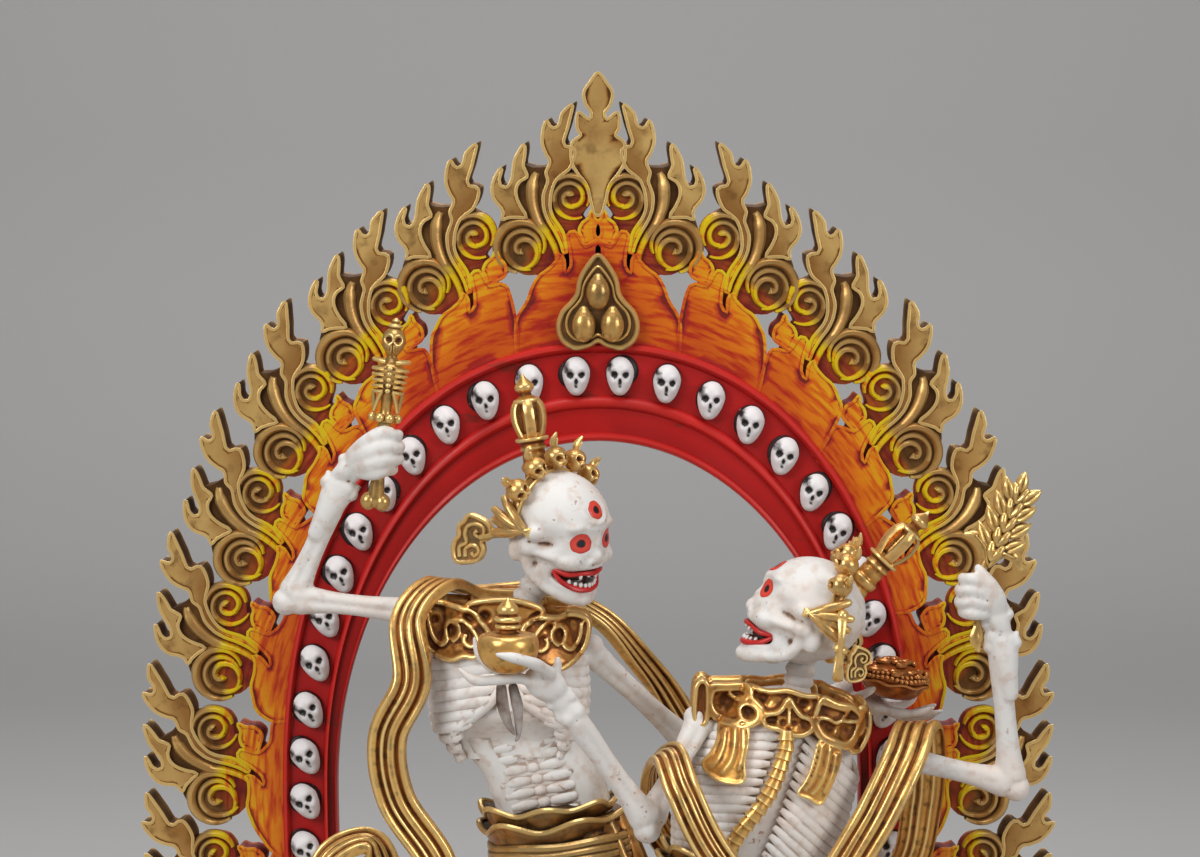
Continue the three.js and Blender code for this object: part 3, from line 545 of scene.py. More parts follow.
head = ball(30, 24, face_first)
for vert in head.verts:
    x, y, z = vert.co
    jaw = max(0.0, -z)
    vert.co = Vector((x * (3.85 - 1.15 * jaw), y * (3.9 - 0.5 * jaw),
                      z * 4.5 if z > 0 else -5.9 * (1 - max(0.0, 1 - jaw) ** 1.35)))
    if y < 0:
        at = vert.co.copy()
        push = dents(at, 1.5, -0.4, 0.9, 1.15) - dents(at, 1.6, 1.1, 0.9, 0.35)
        push += dent(at, (0, -2.2), 0.5, 0.6) - dent(at, (0, -1.0), 0.6, 0.45) + dent(at, (0, -3.9), 0.9, 0.3)
        push -= dents(at, 2.0, -2.0, 0.8, 0.4) + dent(at, (0, -5.0), 0.9, 0.4)
        vert.co.y += push
skull_mesh = as_mesh("small_skull", head)
paint = skull_mesh.attributes.new("black", "FLOAT", "POINT")
for i, vert in enumerate(skull_mesh.vertices):
    at = vert.co
    mark = dents(at, 1.5, -0.4, 0.62, 1.1) + dent(at, (0, -2.2), 0.55, 1.0)
    mark += math.exp(-((at.z + 3.7) / 0.32) ** 2 - (at.x / 1.5) ** 2) * 0.62
    # the soft grey halos round the eye sockets and the nose, and the grey on the cranium's sides, are painted
    # shade
    mark += dents(at, 1.5, -0.2, 1.5, 0.36) + dent(at, (0, -2.4), 1.2, 0.2)
    mark += dent(at, (-3.3, 2.2), 2.3, 0.62) + dent(at, (3.4, 2.6), 1.6, 0.42)
    paint.data[i].value = max(0.0, min(1.0, mark if at.y < -0.5 else 0.0)) + max(0.0,
        min(1.0, (at.y + 1.3) * 2))
occlusion_and_ridges(skull_mesh, 1.5)
blot_mesh = as_mesh("skull_blot", ball(20, 14, Matrix.Diagonal((4.25, 1.5, 4.7, 1))))
blot_black = [0.66] * len(blot_mesh.vertices)
blot_mesh.attributes.new("black", "FLOAT", "POINT").data.foreach_set("value", blot_black)
occlusion_and_ridges(blot_mesh, 1.5)
skull_parts = []
smudge = random.Random(7)
for side in (-1, 1):
    for i in range(skulls_per_side):
        at, normal = along_arch(skull_arch, skull_step * (i + 0.46))
        if at.y > base_top + 3:
            tilt = Matrix.Rotation(side * (math.pi / 2 - normal) / 3, 4, "Y")
            skull_parts.append((skull_mesh, Matrix.Translation((side * at.x, arch_front - 0.3, at.y)) @ tilt))
            blot = (side * (at.x + 0.3) + smudge.uniform(-0.9, 0.9), arch_front + 0.55,
                    at.y + smudge.uniform(-0.5, 0.5))
            size = Matrix.Diagonal((smudge.uniform(0.86, 1.04), 1, smudge.uniform(0.86, 1.02), 1))
            skull_parts.append((blot_mesh, Matrix.Translation(blot) @ tilt @ size))
enamel = Finish("skull_enamel", 0.5)
# the white goes grey and near black where the occlusion is deep: painted shade
chalk = enamel.ramp(enamel.sum(enamel.noise(300, 4), 0.5, enamel.sum(enamel.stored("open"), 0.9, -0.1)),
                    ((0.15, (0.13, 0.09, 0.085)), (0.6, (0.42, 0.38, 0.37)), (1.0, (0.74, 0.71, 0.71))))
ink = enamel.ramp(enamel.sum(enamel.noise(700, 3), 0.5, enamel.sum(enamel.stored("black"), 1.0, -0.25)),
                  ((0.35, 0.0), (0.6, 1.0)))
skull_enamel = enamel.coat(enamel.mix(ink, chalk, (0.012, 0.009, 0.01)), 700, 0.00005)
piece("aureole_skulls", skull_parts, skull_enamel)

# Flames: eighteen like castings fused to the band's outer edge, each a scroll at its root, a smaller scroll
# towards the top, a rounded tongue between two grooves, and a short and a tall flame. Gilded, then brushed
# with yellow, orange and red lacquer towards the band.
units_per_side = 9
sink = 1.15  # how far the ground between the raised forms lies behind their faces
unit_edge = [(13.2, -12.1), (16.1, -12.8), (18.3, -8.8), (19.1, -7.2), (15.9, -7.9), (15.6, -5.9),
             (19.3, -5.4), (21.9, -3.8), (23.2, -0.6), (22.9, 3.2), (22.2, 6), (20, 9), (17.6, 11.6),
             (16.4, 14.2), (14, 15.2), (10.6, 13.8), (6.7, 14.9), (4.9, 10.8), (-0.8, 8.1), (-5.4, 4.4),
             (-6.0, 0.1), (-5.0, -4.7), (-2.7, -7.6), (-6.1, -8.4), (-9.3, -9.6), (-4, -12),
             (0, -14.5), (8, -15)]
tall_flame = [(14, 4.8), (15.5, 5.5), (17.7, 6.4), (19.1, 8.2), (21.1, 8.8), (22.2, 9.6), (22.6, 10.9),
              (23.3, 12.4), (24.2, 13.8), (25.4, 14.9), (26.8, 15.8), (28.2, 16.5), (29.4, 16.7),
              (28.9, 15.3), (29, 14.2), (30, 13.6), (31.4, 13.9), (33.4, 14.9), (36.8, 14.5), (35.6, 13.5),
              (33.4, 12.4), (31.4, 11.4), (29.4, 10.6), (28, 9.9), (27.5, 8.9), (28.3, 7.4), (28.3, 6.3),
              (27, 5.3), (25.2, 4.6), (23.4, 4.3), (21, 4.8), (18.9, 4.9), (16.6, 4.1), (14.6, 2.9),
              (12.7, 1.3), (11.5, -0.7), (10.9, -2.9), (10.1, -5.4), (8.0, -8), (6.9, -9.2), (6.2, -8.8),
              (7.6, -6.6), (8.9, -3.6), (9.9, -0.6), (11.1, 1.8), (12.5, 3.5)]
short_flame = [(20.9, 17.3), (18.3, 17.0), (16.2, 16.4), (14.2, 15.2), (12.2, 13.9), (10.5, 13.4),
               (9.3, 13.7), (8.9, 14.8), (9.8, 16.2), (11.5, 17), (12.5, 17.8), (9.8, 17.5), (7.1, 16.3),
               (5.5, 14.6), (4.9, 12.8), (4.7, 11.2), (3.9, 9.8), (2.5, 8.9), (3.9, 8.1), (5.4, 6.5),
               (6.9, 4.6), (7.5, 5.4), (8.1, 7.4), (9.0, 9.4), (10.1, 10.8), (11.6, 11.7), (13.3, 11.8),
               (15, 11.2), (15.8, 12.2), (16.6, 13.8), (18.3, 14.9), (19.9, 16)]
flamelet = [(13.6, -12.6), (16.0, -13.2), (18.0, -11.4), (18.3, -9.2), (19.3, -7.2), (17.3, -7.8),
            (15.7, -7.4), (14.1, -7.6), (13.0, -8.3), (12.4, -9.8), (11.3, -11.5)]


def smooth_line(rows, step, closed=False):
    """Rows of numbers, a place first, resampled about a step apart on a smooth curve."""
    rows = [np.array(row, float) for row in rows]
    count = len(rows)
    made = []
    for i in range(count if closed else count - 1):
        a, b = rows[i], rows[(i + 1) % count]
        before = rows[i - 1] if closed or i else 2 * a - b
        after = rows[(i + 2) % count] if closed or i + 2 < count else 2 * b - a
        pieces = max(1, round(float(np.linalg.norm((b - a)[:3])) / step))
        for k in range(pieces):
            t = k / pieces
            made.append(0.5 * (2 * a + (b - before) * t + (2 * before - 5 * a + 4 * b - after) * t ** 2
                               + (3 * a - before - 3 * b + after) * t ** 3))
    if not closed:
        made.append(rows[-1])
    return made


def outlined(points, step):
    """The (u, v) points of a smooth closed outline."""
    return [row[:2] for row in smooth_line(points, step, closed=True)]


def axes_at(rows, i, face, closed=False):
    """The way ahead along rows at one of them, the way that its face looks, and the way across."""
    last = len(rows) - 1
    ahead = rows[(i + 1) % len(rows)] if closed else rows[min(i + 1, last)]
    behind = rows[i - 1] if closed else rows[max(i - 1, 0)]
    along = (Vector(ahead[:3]) - Vector(behind[:3])).normalized()
    up = (face - face.dot(along) * along).normalized()
    return along, up, up.cross(along)


def strand(rows, face, sides=8, closed=False):
    """A rounded bar along rows of (x, y, z, width, height); face is the way that its height points."""
    rings = []
    for i, row in enumerate(rows):
        at = Vector(row[:3])
        _, up, across = axes_at(rows, i, face(at) if callable(face) else face, closed)
        rings.append([at + across * (math.cos(a) * row[3] / 2) + up * (math.sin(a) * row[4])
                      for a in (2 * math.pi * (k + 0.5) / sides for k in range(sides))])
    if not closed:
        return swept(rings)
    bm = swept(rings + rings[:1])
    bmesh.ops.delete(bm, geom=[end for end in bm.faces if len(end.verts) > 4], context="FACES_ONLY")
    bmesh.ops.remove_doubles(bm, verts=bm.verts[:], dist=1e-5)
    return bm


def slab(outline, front, back):
    """A flat plate with an outline of (u, v) points between two depths."""
    bm = bmesh.new()
    face = bm.faces.new([bm.verts.new((u, back, v)) for u, v in outline])
    made = bmesh.ops.extrude_face_region(bm, geom=[face])["geom"]
    bmesh.ops.translate(bm, vec=(0, front - back, 0), verts=of_kind(made, bmesh.types.BMVert))
    bmesh.ops.recalc_face_normals(bm, faces=bm.faces[:])
    return bm


toward = Vector((0, -1, 0))


def raised(outline, step=0.8):
    """A flame's plate with a hollow face inside a rounded rim."""
    hollow, rim = 0.1, 0.95
    line = outlined(outline, step)
    plate = slab(line, hollow, arch_thick)
    face = next(face for face in plate.faces if face.normal.y < -0.9)
    edge = set(face.edges)
    made = bmesh.ops.triangulate(plate, faces=[face])
    inner = [item for item in made["edges"] if item not in edge]
    bmesh.ops.subdivide_edges(plate, edges=inner, cuts=3, use_grid_fill=True)
    return [plate, strand([(u, hollow, v, rim, hollow + 0.12) for u, v in line], toward, 6, closed=True)]


def spread_over(t, given):
    """The value at a share of the way along numbers given at even steps."""
    return float(np.interp(t, np.linspace(0, 1, len(given)), given))


def sized(rows, *given):
    """Rows of places with the widths and heights that are given along them."""
    last = len(rows) - 1
    return [(*row[:3], *(spread_over(i / last, each) for each in given)) for i, row in enumerate(rows)]


def scroll_band(centre, start, end, radii, widths, heights):
    """A bar wound round a centre between two angles in degrees, its radius and sizes given along it."""
    rows = []
    for t in np.linspace(0, 1, 49):
        angle = math.radians(start + (end - start) * t)
        radius = spread_over(t, radii)
        rows.append((centre[0] + radius * math.cos(angle), sink, centre[1] + radius * math.sin(angle)))
    return strand(sized(rows, widths, heights), toward)


def flame_unit():
    """One flame casting: u runs towards the aureole's top, v outwards, the large scroll is at the origin."""
    parts = [slab(outlined(unit_edge, 1.2), sink, arch_thick)]
    for outline in (tall_flame, short_flame, flamelet):
        parts += raised(outline)
    tongue = [(17.2, 10.0), (15.4, 9.6), (13.2, 8.2), (11.0, 6.2), (9.2, 3.8), (7.8, 0.9), (7.1, -2.2),
              (6.0, -5.2), (4.4, -8), (2.0, -10.4)]
    rows = sized(smooth_line([(u, sink, v) for u, v in tongue], 0.75),
                 (1.6, 3.3, 3.2, 3.0, 2.8, 2.3, 1.9, 1.8, 1.8, 1.2),
                 (0.9, 1.7, 1.7, 1.6, 1.5, 1.4, 1.3, 1.2, 1.1, 0.6))
    parts.append(strand(rows, toward))
    # large scroll: an outer crescent, a thin middle band and the inner hook; then the small one, wound back
    large, small = (0, 0), (18.2, -0.7)
    parts += [scroll_band(*band) for band in (
        (large, -62, 205, (5.2, 6.2, 6.9, 7.1, 7.0, 6.7, 6.3), (0.8, 1.6, 2.3, 2.6, 2.4, 1.8, 1.0),
         (0.8, 1.3, 1.5, 1.6, 1.5, 1.3, 0.8)),
        (large, -75, 240, (4.3, 4.5, 4.6, 4.6, 4.55, 4.8, 5.6), (1.0, 1.5, 1.7, 1.6, 1.5, 1.5, 1.0),
         (0.9, 1.2, 1.25, 1.2, 1.2, 1.1, 0.8)),
        (large, 225, 560, (5.2, 4.2, 3.1, 2.4, 2.0, 1.5, 0.7), (1.0, 1.7, 1.9, 1.8, 1.7, 1.9, 1.9),
         (0.8, 1.3, 1.5, 1.5, 1.5, 1.6, 1.5)),
        (small, 112, -78, (5.5, 5.6, 5.5, 5.1, 4.8), (0.7, 1.5, 2.0, 1.7, 0.8), (0.8, 1.3, 1.5, 1.3, 0.8)),
        (small, 250, -130, (6.0, 5.2, 4.3, 3.8, 3.6, 3.3, 3.0, 2.4), (0.7, 1.3, 1.5, 1.4, 1.4, 1.4, 1.5, 1.3),
         (0.7, 1.1, 1.2, 1.2, 1.2, 1.3, 1.3, 1.2)),
        (small, -120, -345, (2.7, 2.2, 1.7, 1.0, 0.4), (1.3, 1.5, 1.7, 1.8, 1.5), (1.2, 1.3, 1.5, 1.5, 1.3)))]
    return parts


def flame_mesh(name, parts, in_unit=lambda at: at):
    """Joins parts of the flames into a mesh, and stores on it what their paint reads.

    The glow is how far down towards the band a point lies, below 0 on the tips and 1 at the band. The flat
    faces have no ridges, and the ground behind them counts as nearly closed, so the paint darkens it as
    painted shade; in_unit gives a point's place in a unit's axes.
    """
    mesh = as_mesh(name, join(parts))
    sharp_edge, reach, glow_line, glow_span, gilt_until = 50, 2.2, 6.5, 29, 0.36
    mesh.set_sharp_from_angle(angle=math.radians(sharp_edge))
    occlusion_and_ridges(mesh, reach)
    glows = mesh.attributes.new("glow", "FLOAT", "POINT").data
    ridges, opens = mesh.attributes["ridge"].data, mesh.attributes["open"].data
    for i, vert in enumerate(mesh.vertices):
        u, depth, v = in_unit(vert.co)
        glow = max(-0.4, min(1.0, (glow_line - v + 0.10 * max(0.0, u - 8)) / glow_span))
        glows[i].value = glow
        ridges[i].value *= max(0.0, 1 - 5 * max(0.0, glow - gilt_until))
        if 0.05 < depth < 0.15:
            ridges[i].value = 0.0
        # the ground is marked nearly closed so that it is painted dark as shade; the back is kept fairly open
        elif depth > 1:
            opens[i].value = 0.2 * opens[i].value if depth < 2 else 0.62
    return mesh


unit_mesh = flame_mesh("flame_unit", flame_unit())


def unit_place(index, side):
    """Stands a unit at its place on the scroll line, leaning as the line turns."""
    length = 19.6 + 27.1 * index + index * (index - 1) / 2
    at, normal = along_arch(scroll_arch, length)
    lean = min(normal - math.radians(4.5), math.radians(40.5 if index < 2 else 35.5))
    out = Vector((math.cos(lean), math.sin(lean)))
    matrix = Matrix(((-side * out.y, 0, side * out.x, side * at.x), (0, 1, 0, arch_front),
                     (out.x, 0, out.y, at.y), (0, 0, 0, 1)))
    draft = Matrix.Identity(4)  # the casting's sides run back towards the statue's middle and upwards
    draft[0][1], draft[2][1] = -side * 0.26, 0.2
    return Matrix.Translation((0, arch_front, 0)) @ draft @ Matrix.Translation((0, -arch_front, 0)) @ matrix


def on_rim(point):
    """The angle of the rim's point that an (x, z) point of the right half lies straight out from."""
    if point.y < arch_centre:
        return math.degrees(math.asin(max(-1, (point.y - arch_centre) / rim_arch[2])))
    return math.degrees(math.atan2((point.y - arch_centre) / rim_arch[1], abs(point.x) / rim_arch[0]))


def unit_spot(index, u, v):
    """Where a point of a right-hand unit comes to lie, as (x, z)."""
    at = unit_place(index, 1) @ Vector((u, 0, v))
    return Vector((at.x, at.z))


def body(index):
    """The flat body that joins a right-hand unit to the band and meets its neighbours' along short seams."""
    def seam(upper):
        # the rim's angle and the point where a body meets the one below it
        if upper < 0:
            return 90.0, Vector((0.2, 252))
        low, high = unit_spot(upper, -9.5, -9.6), (unit_spot(upper + 1, 15, -14)
            if upper < units_per_side - 1 else None)
        window = low.lerp(high, 0.5) if high else low + Vector((0, -6))
        degrees = on_rim(window)
        return degrees, on_arch(rim_arch, degrees).lerp(window, 0.5)
    (top_angle, top_seam), (low_angle, low_seam) = seam(index - 1), seam(index)
    rim = [on_arch(rim_arch, top_angle + (low_angle - top_angle) * k / 8) for k in range(9)]
    rim = [Vector((p.x * 0.985, p.y - (1.2 if p.y > arch_centre + 60 else 0))) for p in rim]
    own = [unit_spot(index, u, v) for u, v in
           ((-9.3, -9.6), (-6.1, -8.4), (-2.7, -7.7), (0.5, -8.4), (3.6, -8.6), (5.4, -8.0), (5.0, -10),
            (2.6, -12.4), (5, -12.3), (8.0, -9.4), (10.4, -6.4), (12.4, -7.2), (11.9, -9.4), (11.2, -12),
            (14.0, -15.2))]
    outline = [top_seam] + rim + [low_seam] + own
    return [(p.x, max(p.y, base_top)) for p in outline]


def placed_unit(index, side):
    """One unit with its body, at its place."""
    back = unit_place(index, 1).inverted()

    def in_unit(at):
        local = back @ Vector((at.x, arch_front + 0.25, at.z))
        return local.x, at.y, local.z - max(0, 4.5 - 4 * index)
    body_mesh = flame_mesh("unit_body", raised(body(index), 1.3), in_unit)
    across = Matrix.Diagonal((side, 1, 1, 1)) @ Matrix.Translation((0, arch_front, 0))
    whole = join([(body_mesh, across), (unit_mesh, unit_place(index, side))])
    bmesh.ops.bisect_plane(whole, geom=whole.verts[:] + whole.edges[:] + whole.faces[:],
                           plane_co=(0, 0, base_top),
                           plane_no=(0, 0, -1), clear_outer=True)
    return whole


def strokes(finish, along, outward, skew):
    """Noise drawn out into brush strokes that follow the arch, leaning outwards by a skew."""
    axes = finish.axes()
    flat = finish.worked("MULTIPLY", axes["X"], 1.25)
    high = finish.worked("ADD", axes["Z"], -arch_centre / 1000)
    turn = finish.worked("ARCTAN2", flat, high)
    squares = [finish.worked("MULTIPLY", way, way) for way in (flat, high)]
    reach = finish.worked("SQRT", finish.worked("ADD", *squares))
    joined = finish.node("CombineXYZ")
    leant = finish.worked("ADD", finish.worked("MULTIPLY", turn, along),
                          finish.worked("MULTIPLY", reach, skew))
    finish.set(joined.inputs["X"], leant)
    finish.set(joined.inputs["Y"], finish.worked("MULTIPLY", reach, outward))
    return finish.noise(1.0, 6.0, place=joined.outputs["Vector"])


flames = Finish("flame_lacquer", 0.42, gloss=0.3)
# relief follows the occlusion: where it is low the paint is darkened as painted shade
relief = flames.sum(flames.noise(260, 5), 0.34, flames.sum(flames.stored("open"), 1.8, -0.8))
gold = flames.ramp(relief, ((0.08, (0.02, 0.007, 0.003)), (0.34, (0.14, 0.046, 0.01)),
                            (0.6, (0.5, 0.26, 0.06)), (0.95, (0.86, 0.57, 0.2))))
gold = flames.blotted(gold, (75, 6), ((0.48, 0.0), (0.7, 0.75)), (0.34, 0.13, 0.026))
rooted = flames.sum(flames.noise(60, 5), 0.5, flames.sum(flames.stored("glow"), 1.0, 0.15))
gold = flames.mix(flames.ramp(rooted, ((0.1, 0.0), (0.5, 0.85))), gold, (0.3, 0.115, 0.022))
gold = flames.blotted(gold, (240, 5), ((0.56, 0.0), (0.7, 0.5)), (0.14, 0.055, 0.015))
# rubbed: the gold is lighter on ridges and rims, partly rubbed gilding and partly a painted highlight
rubbed = flames.sum(flames.stored("ridge"), 0.6, flames.sum(flames.noise(110, 3), 0.6, -0.32))
gold = flames.mix(rubbed, gold, (0.84, 0.58, 0.22))
# painted shade: near black wherever the relief is low
gold = flames.mix(flames.ramp(relief, ((0.02, 0.96), (0.42, 0.0))), gold, (0.022, 0.008, 0.004))
warmth = flames.worked("ADD", flames.stored("glow"),
                       flames.sum(flames.noise(46, 6, (0.6, 1, 2.0)), 0.6, -0.2))
hue = flames.sum(warmth, 0.72, flames.sum(strokes(flames, 12, 620, 150), 1.35, -0.62))
hue = flames.sum(flames.sum(relief, -1.0, 1.0), 0.45, flames.sum(hue, 1.0, -0.08))
hue = flames.sum(flames.stored("ridge"), -0.3, hue)
lacquer = flames.ramp(hue, ((0.24, (0.62, 0.44, 0.006)), (0.42, (0.66, 0.28, 0.006)),
                            (0.54, (0.62, 0.14, 0.005)), (0.7, (0.5, 0.07, 0.005)),
                            (0.83, (0.42, 0.028, 0.006)), (0.96, (0.32, 0.012, 0.008))))
# painted shade: the lacquer is darkened towards black where the relief is low
lacquer = flames.mix(0.93, lacquer, flames.ramp(relief, ((0.03, 0.1), (0.4, 1.0))), "MULTIPLY")
covered = flames.ramp(warmth, ((0.34, 0.0), (0.42, 1.0)))
flames.set(flames.shader.inputs["Metallic"], flames.ramp(warmth, ((0.34, 0.6), (0.42, 0.0))))
flame_lacquer = flames.coat(flames.mix(covered, gold, lacquer), 700, 0.00006,
                            flames.ramp(relief, ((0.2, 0.6), (0.9, 0.36))))
for side, name in ((-1, "flames_left"), (1, "flames_right")):
    piece(name, [placed_unit(i, side) for i in range(units_per_side)], flame_lacquer)

# Finial: a spade on a barbed stem between the two topmost flames, part of the same casting.
crest = [(0, 313.4), (2.1, 310.9), (3.7, 308.3), (3.1, 305.2), (1.7, 303.2), (2.3, 301.4), (5.1, 303.2),
         (5.4, 299.3), (4.5, 297.3), (6.7, 295.4), (6.9, 291), (5.6, 288), (3.0, 284.5),
         (1.8, 280), (0.9, 277)]


def both_halves(half):
    """An outline whose left half mirrors the right."""
    return half + [(-x, z) for x, z in reversed(half) if x]


crest_root = slab([(0, 280), (9, 268), (6, 250), (-6, 250), (-9, 268)], sink, arch_thick)
crest_mesh = flame_mesh("crest", raised(both_halves(crest)) + [crest_root],
                        lambda at: (0, at.y, (at.z - 274) * 1.5))
piece("aureole_crest", [(crest_mesh, Matrix.Translation((0, arch_front, 0)))], flame_lacquer)

# Three jewels: polished eggs ringed at their tops, on a lobed gilded plaque over the band's top.
plaque_edge = [(0, 266.4), (2.6, 263.8), (4.6, 260.2), (5.3, 256.6), (6.8, 254.3), (9.2, 251.6), (10.2, 248),
               (9.2, 244.6), (6.2, 242.6), (2.6, 243.2), (0, 244.4)]
plaque_face, plaque_middle = -2.2, 252.2
lip = outlined(both_halves(plaque_edge), 0.8)
plaque_parts = [slab(lip, plaque_face, 2)]
for share, width, height, sides in ((1, 1.5, 1.0, 8), (0.8, 0.8, 0.6, 6)):
    rows = [(x * share, plaque_face, plaque_middle + (z - plaque_middle) * share, width, height)
            for x, z in lip]
    plaque_parts.append(strand(rows, toward, sides, closed=True))
for x, z in ((0, 256.8), (-3.7, 248.4), (3.7, 248.4)):
    jewel = ball(28, 26)
    for vert in jewel.verts:
        rise = vert.co.z
        groove = sum(0.07 * math.exp(-((rise - level) / 0.045) ** 2) for level in (0.42, 0.66, 0.86))
        point = 1 + 0.16 * max(0.0, rise - 0.8) / 0.2
        vert.co = Vector((vert.co.x * 3.0 * (1 - groove), vert.co.y * 2.6 * (1 - groove), rise * 4.4 * point))
    bmesh.ops.translate(jewel, vec=(x, -3.2, z), verts=jewel.verts[:])
    plaque_parts.append(jewel)
for part in plaque_parts:
    bmesh.ops.translate(part, vec=(0, arch_front, 0), verts=part.verts[:])
piece("jewel_plaque", plaque_parts, gilding)

# The two skeletons: each cast in a few pieces, soldered, filed smooth and painted matt white, with brown wash
# and painted shade darkening the crevices. Both heads are alike: a round cranium, staring eyes and a gaping
# jaw.
head_poses = {"lord": ((-9.3, -13, 201.2), 48, 16, -6), "lady": ((52.2, -14, 180.2), -90, 2, 26)}


def turned_head(place, yaw, pitch, roll):
    """The matrix of a head pitched down, turned away and rolled in the picture's plane, in degrees."""
    turns = [Matrix.Rotation(math.radians(angle), 4, axis)
             for angle, axis in ((roll, "Y"), (yaw, "Z"), (pitch, "X"))]
    return Matrix.Translation(place) @ turns[0] @ turns[1] @ turns[2]


heads = {who: turned_head(*pose) for who, pose in head_poses.items()}


def blob(centre, radii, turn=Matrix.Identity(4), segments=24):
    """An egg of metal or clay at a place."""
    return ball(segments, segments * 2 // 3, Matrix.Translation(centre) @ turn @ Matrix.Diagonal((*radii, 1)))


def bar(points, widths, heights, face=toward, step=1.0, sides=10):
    """A rounded bar through points, its width and height given along it, rounded over at both ends."""
    full = sized(smooth_line(points, step), widths, heights)

    def cap(end, before):
        # two small rings beyond an end, the outer one first
        at, width, height = Vector(end[:3]), *end[3:]
        out = (at - Vector(before[:3])).normalized()
        return [(*(at + out * min(width / 2, height) * 0.85 * s), width * c, height * c)
                for s, c in ((1.0, 0.25), (0.72, 0.7))]
    return strand(cap(*full[:2]) + full + cap(*full[:-3:-1])[::-1], face, sides)


def smoothed(bm, rounds):
    """The same mesh, evened out a number of times."""
    for _ in range(rounds):
        bmesh.ops.smooth_vert(bm, verts=bm.verts[:], factor=0.5, use_axis_x=True, use_axis_y=True,
                              use_axis_z=True)
    return bm


def merged(parts, grain, rounds):
    """Melts overlapping parts into one skin with a voxel remesh, and smooths it a little."""
    mesh = as_mesh("merging", join(parts))
    clay = placed("merging", mesh)
    remesh = clay.modifiers.new("skin", "REMESH")
    remesh.mode = "VOXEL"
    remesh.voxel_size = grain
    bpy.context.view_layer.update()
    skinned = bpy.data.meshes.new_from_object(clay.evaluated_get(bpy.context.evaluated_depsgraph_get()))
    bpy.data.objects.remove(clay)
    bpy.data.meshes.remove(mesh)
    made = bmesh.new()
    made.from_mesh(skinned)
    bpy.data.meshes.remove(skinned)
    return smoothed(made, rounds)


def bone_skull(eye_x, eye_z):
    """The bone of one head in its own axes: the face looks to -Y and the cranium's centre is the origin."""
    lift = eye_z + 1.4
    parts = [blob((0, 1, 0), (12.3, 13.9, 12.9), segments=36), blob((0, -4.3, -2.8), (10.8, 8.9, 8.5)),
             blob((0, -8.0, -7.8), (6.9, 5.3, 3.3)), blob((0, -4, -8.0), (8.2, 7, 4)),
             blob((0, 1, -8.5), (7.5, 7.5, 5.5)),
             blob((0, -12.3, -5.2), (1.8, 2.2, 2.4)), blob((0, -11.6, -1.8), (1.7, 1.9, 2.8)),
             blob((0, -10.6, 1.9 + lift), (3.8, 2.1, 2.0))]
    for side in (-1, 1):
        def at(*rows):
            return [(side * x, y, z) for x, y, z in rows]
        parts += [
            blob((side * 4.2, -9.0, 2.2 + lift), (4.2, 2.9, 1.8)),
            blob((side * 4.9, -8.6, -6.3), (4.6, 3.8, 2.8)),
            blob((side * 7.4, -2.8, -10.6), (2.4, 3.4, 3.6)),
            bar(at((7.4, -4.4, -11.4), (6.0, -7.0, -13.0), (3.3, -9.2, -14.2), (0, -10.0, -14.5)),
                (2.4, 2.6, 2.6, 2.6), (1.6, 1.5, 1.4, 1.4)),
            bar(at((8.0, -8.6, -5.8), (10.2, -5.0, -5.3), (11.5, 0.5, -4.8)), (2.8, 2.2, 2.4),
                (1.5, 1.1, 1.2)),
            bar(at((10.6, 0.5, -5.5), (10.2, 0.6, -9), (9.2, -0.6, -12.0), (7.8, -3.4, -13.8),
                   (6.0, -6.6, -15.3), (3.4, -8.8, -16.3),
                   (0, -9.7, -16.7)), (2.8, 3.4, 3.6, 3.6, 3.6, 3.8, 4.0),
                   (1.4, 1.5, 1.5, 1.6, 1.8, 2.1, 2.2), Vector((0, 0, 1))),
            blob((side * 1.8, -12.3, -6.3), (1.3, 1.4, 1.1)), blob((side * 11.9, 0.2, -4.2), (1.8, 2.6, 2.4)),
            blob((side * 12.0, -2.0, -0.6), (2.0, 2.3, 2.2)), blob((side * 11.4, 3.6, -6.2), (1.9, 2.4, 3.0)),
            bar(at((0, -12.5, 3.4), (2.0, -12.1, 3.8), (3.6, -11.0, 5.2), (3.8, -9.9, 7.4)),
                (0.9, 1.0, 0.8, 0.4), (0.7, 0.8, 0.5, 0.2)),
            bar(at((0, -12.6, 1.9), (2.4, -12.1, 2.3), (4.4, -10.8, 3.7), (5.0, -9.4, 6.0)),
                (0.9, 1.0, 0.8, 0.4), (0.6, 0.7, 0.4, 0.2))]
    parts += [blob((0, -9.8, -17.0), (3.6, 2.2, 1.9)), blob((0, -5, -15.4), (5.4, 4.4, 1.4))]
    made = merged(parts, 0.42, 5)
    for vert in made.verts:
        x, y, z = vert.co
        push = Vector((0, 0, 0))
        if y < -4:
            for side in (-1, 1):
                near = ((x - side * eye_x) / 3.3) ** 2 + ((z - eye_z) / 2.8) ** 2
                nostril = ((x - side * 0.9) / 0.6) ** 2 + ((z + 7.3) / 0.6) ** 2
                push.y += 0.8 * math.exp(-near ** 2)
                push.y += 1.3 * math.exp(-nostril)
            gap = math.exp(-(((z + 10.7 + (y + 9) * 0.1) / 1.6) ** 4)) * math.exp(-((x / 7.2) ** 4))
            push.y += 3.2 * gap
        temple = math.exp(-((y + 6.0) / 3.6) ** 2 - ((z + 1.6) / 2.6) ** 2)
        temple = 1.2 * temple + 1.8 * math.exp(-((y + 3.4) / 2.6) ** 2 - ((z + 2.7) / 0.7) ** 2)
        push.x -= math.copysign(temple, x) if abs(x) > 6 else 0
        vert.co += push
    return smoothed(made, 3)


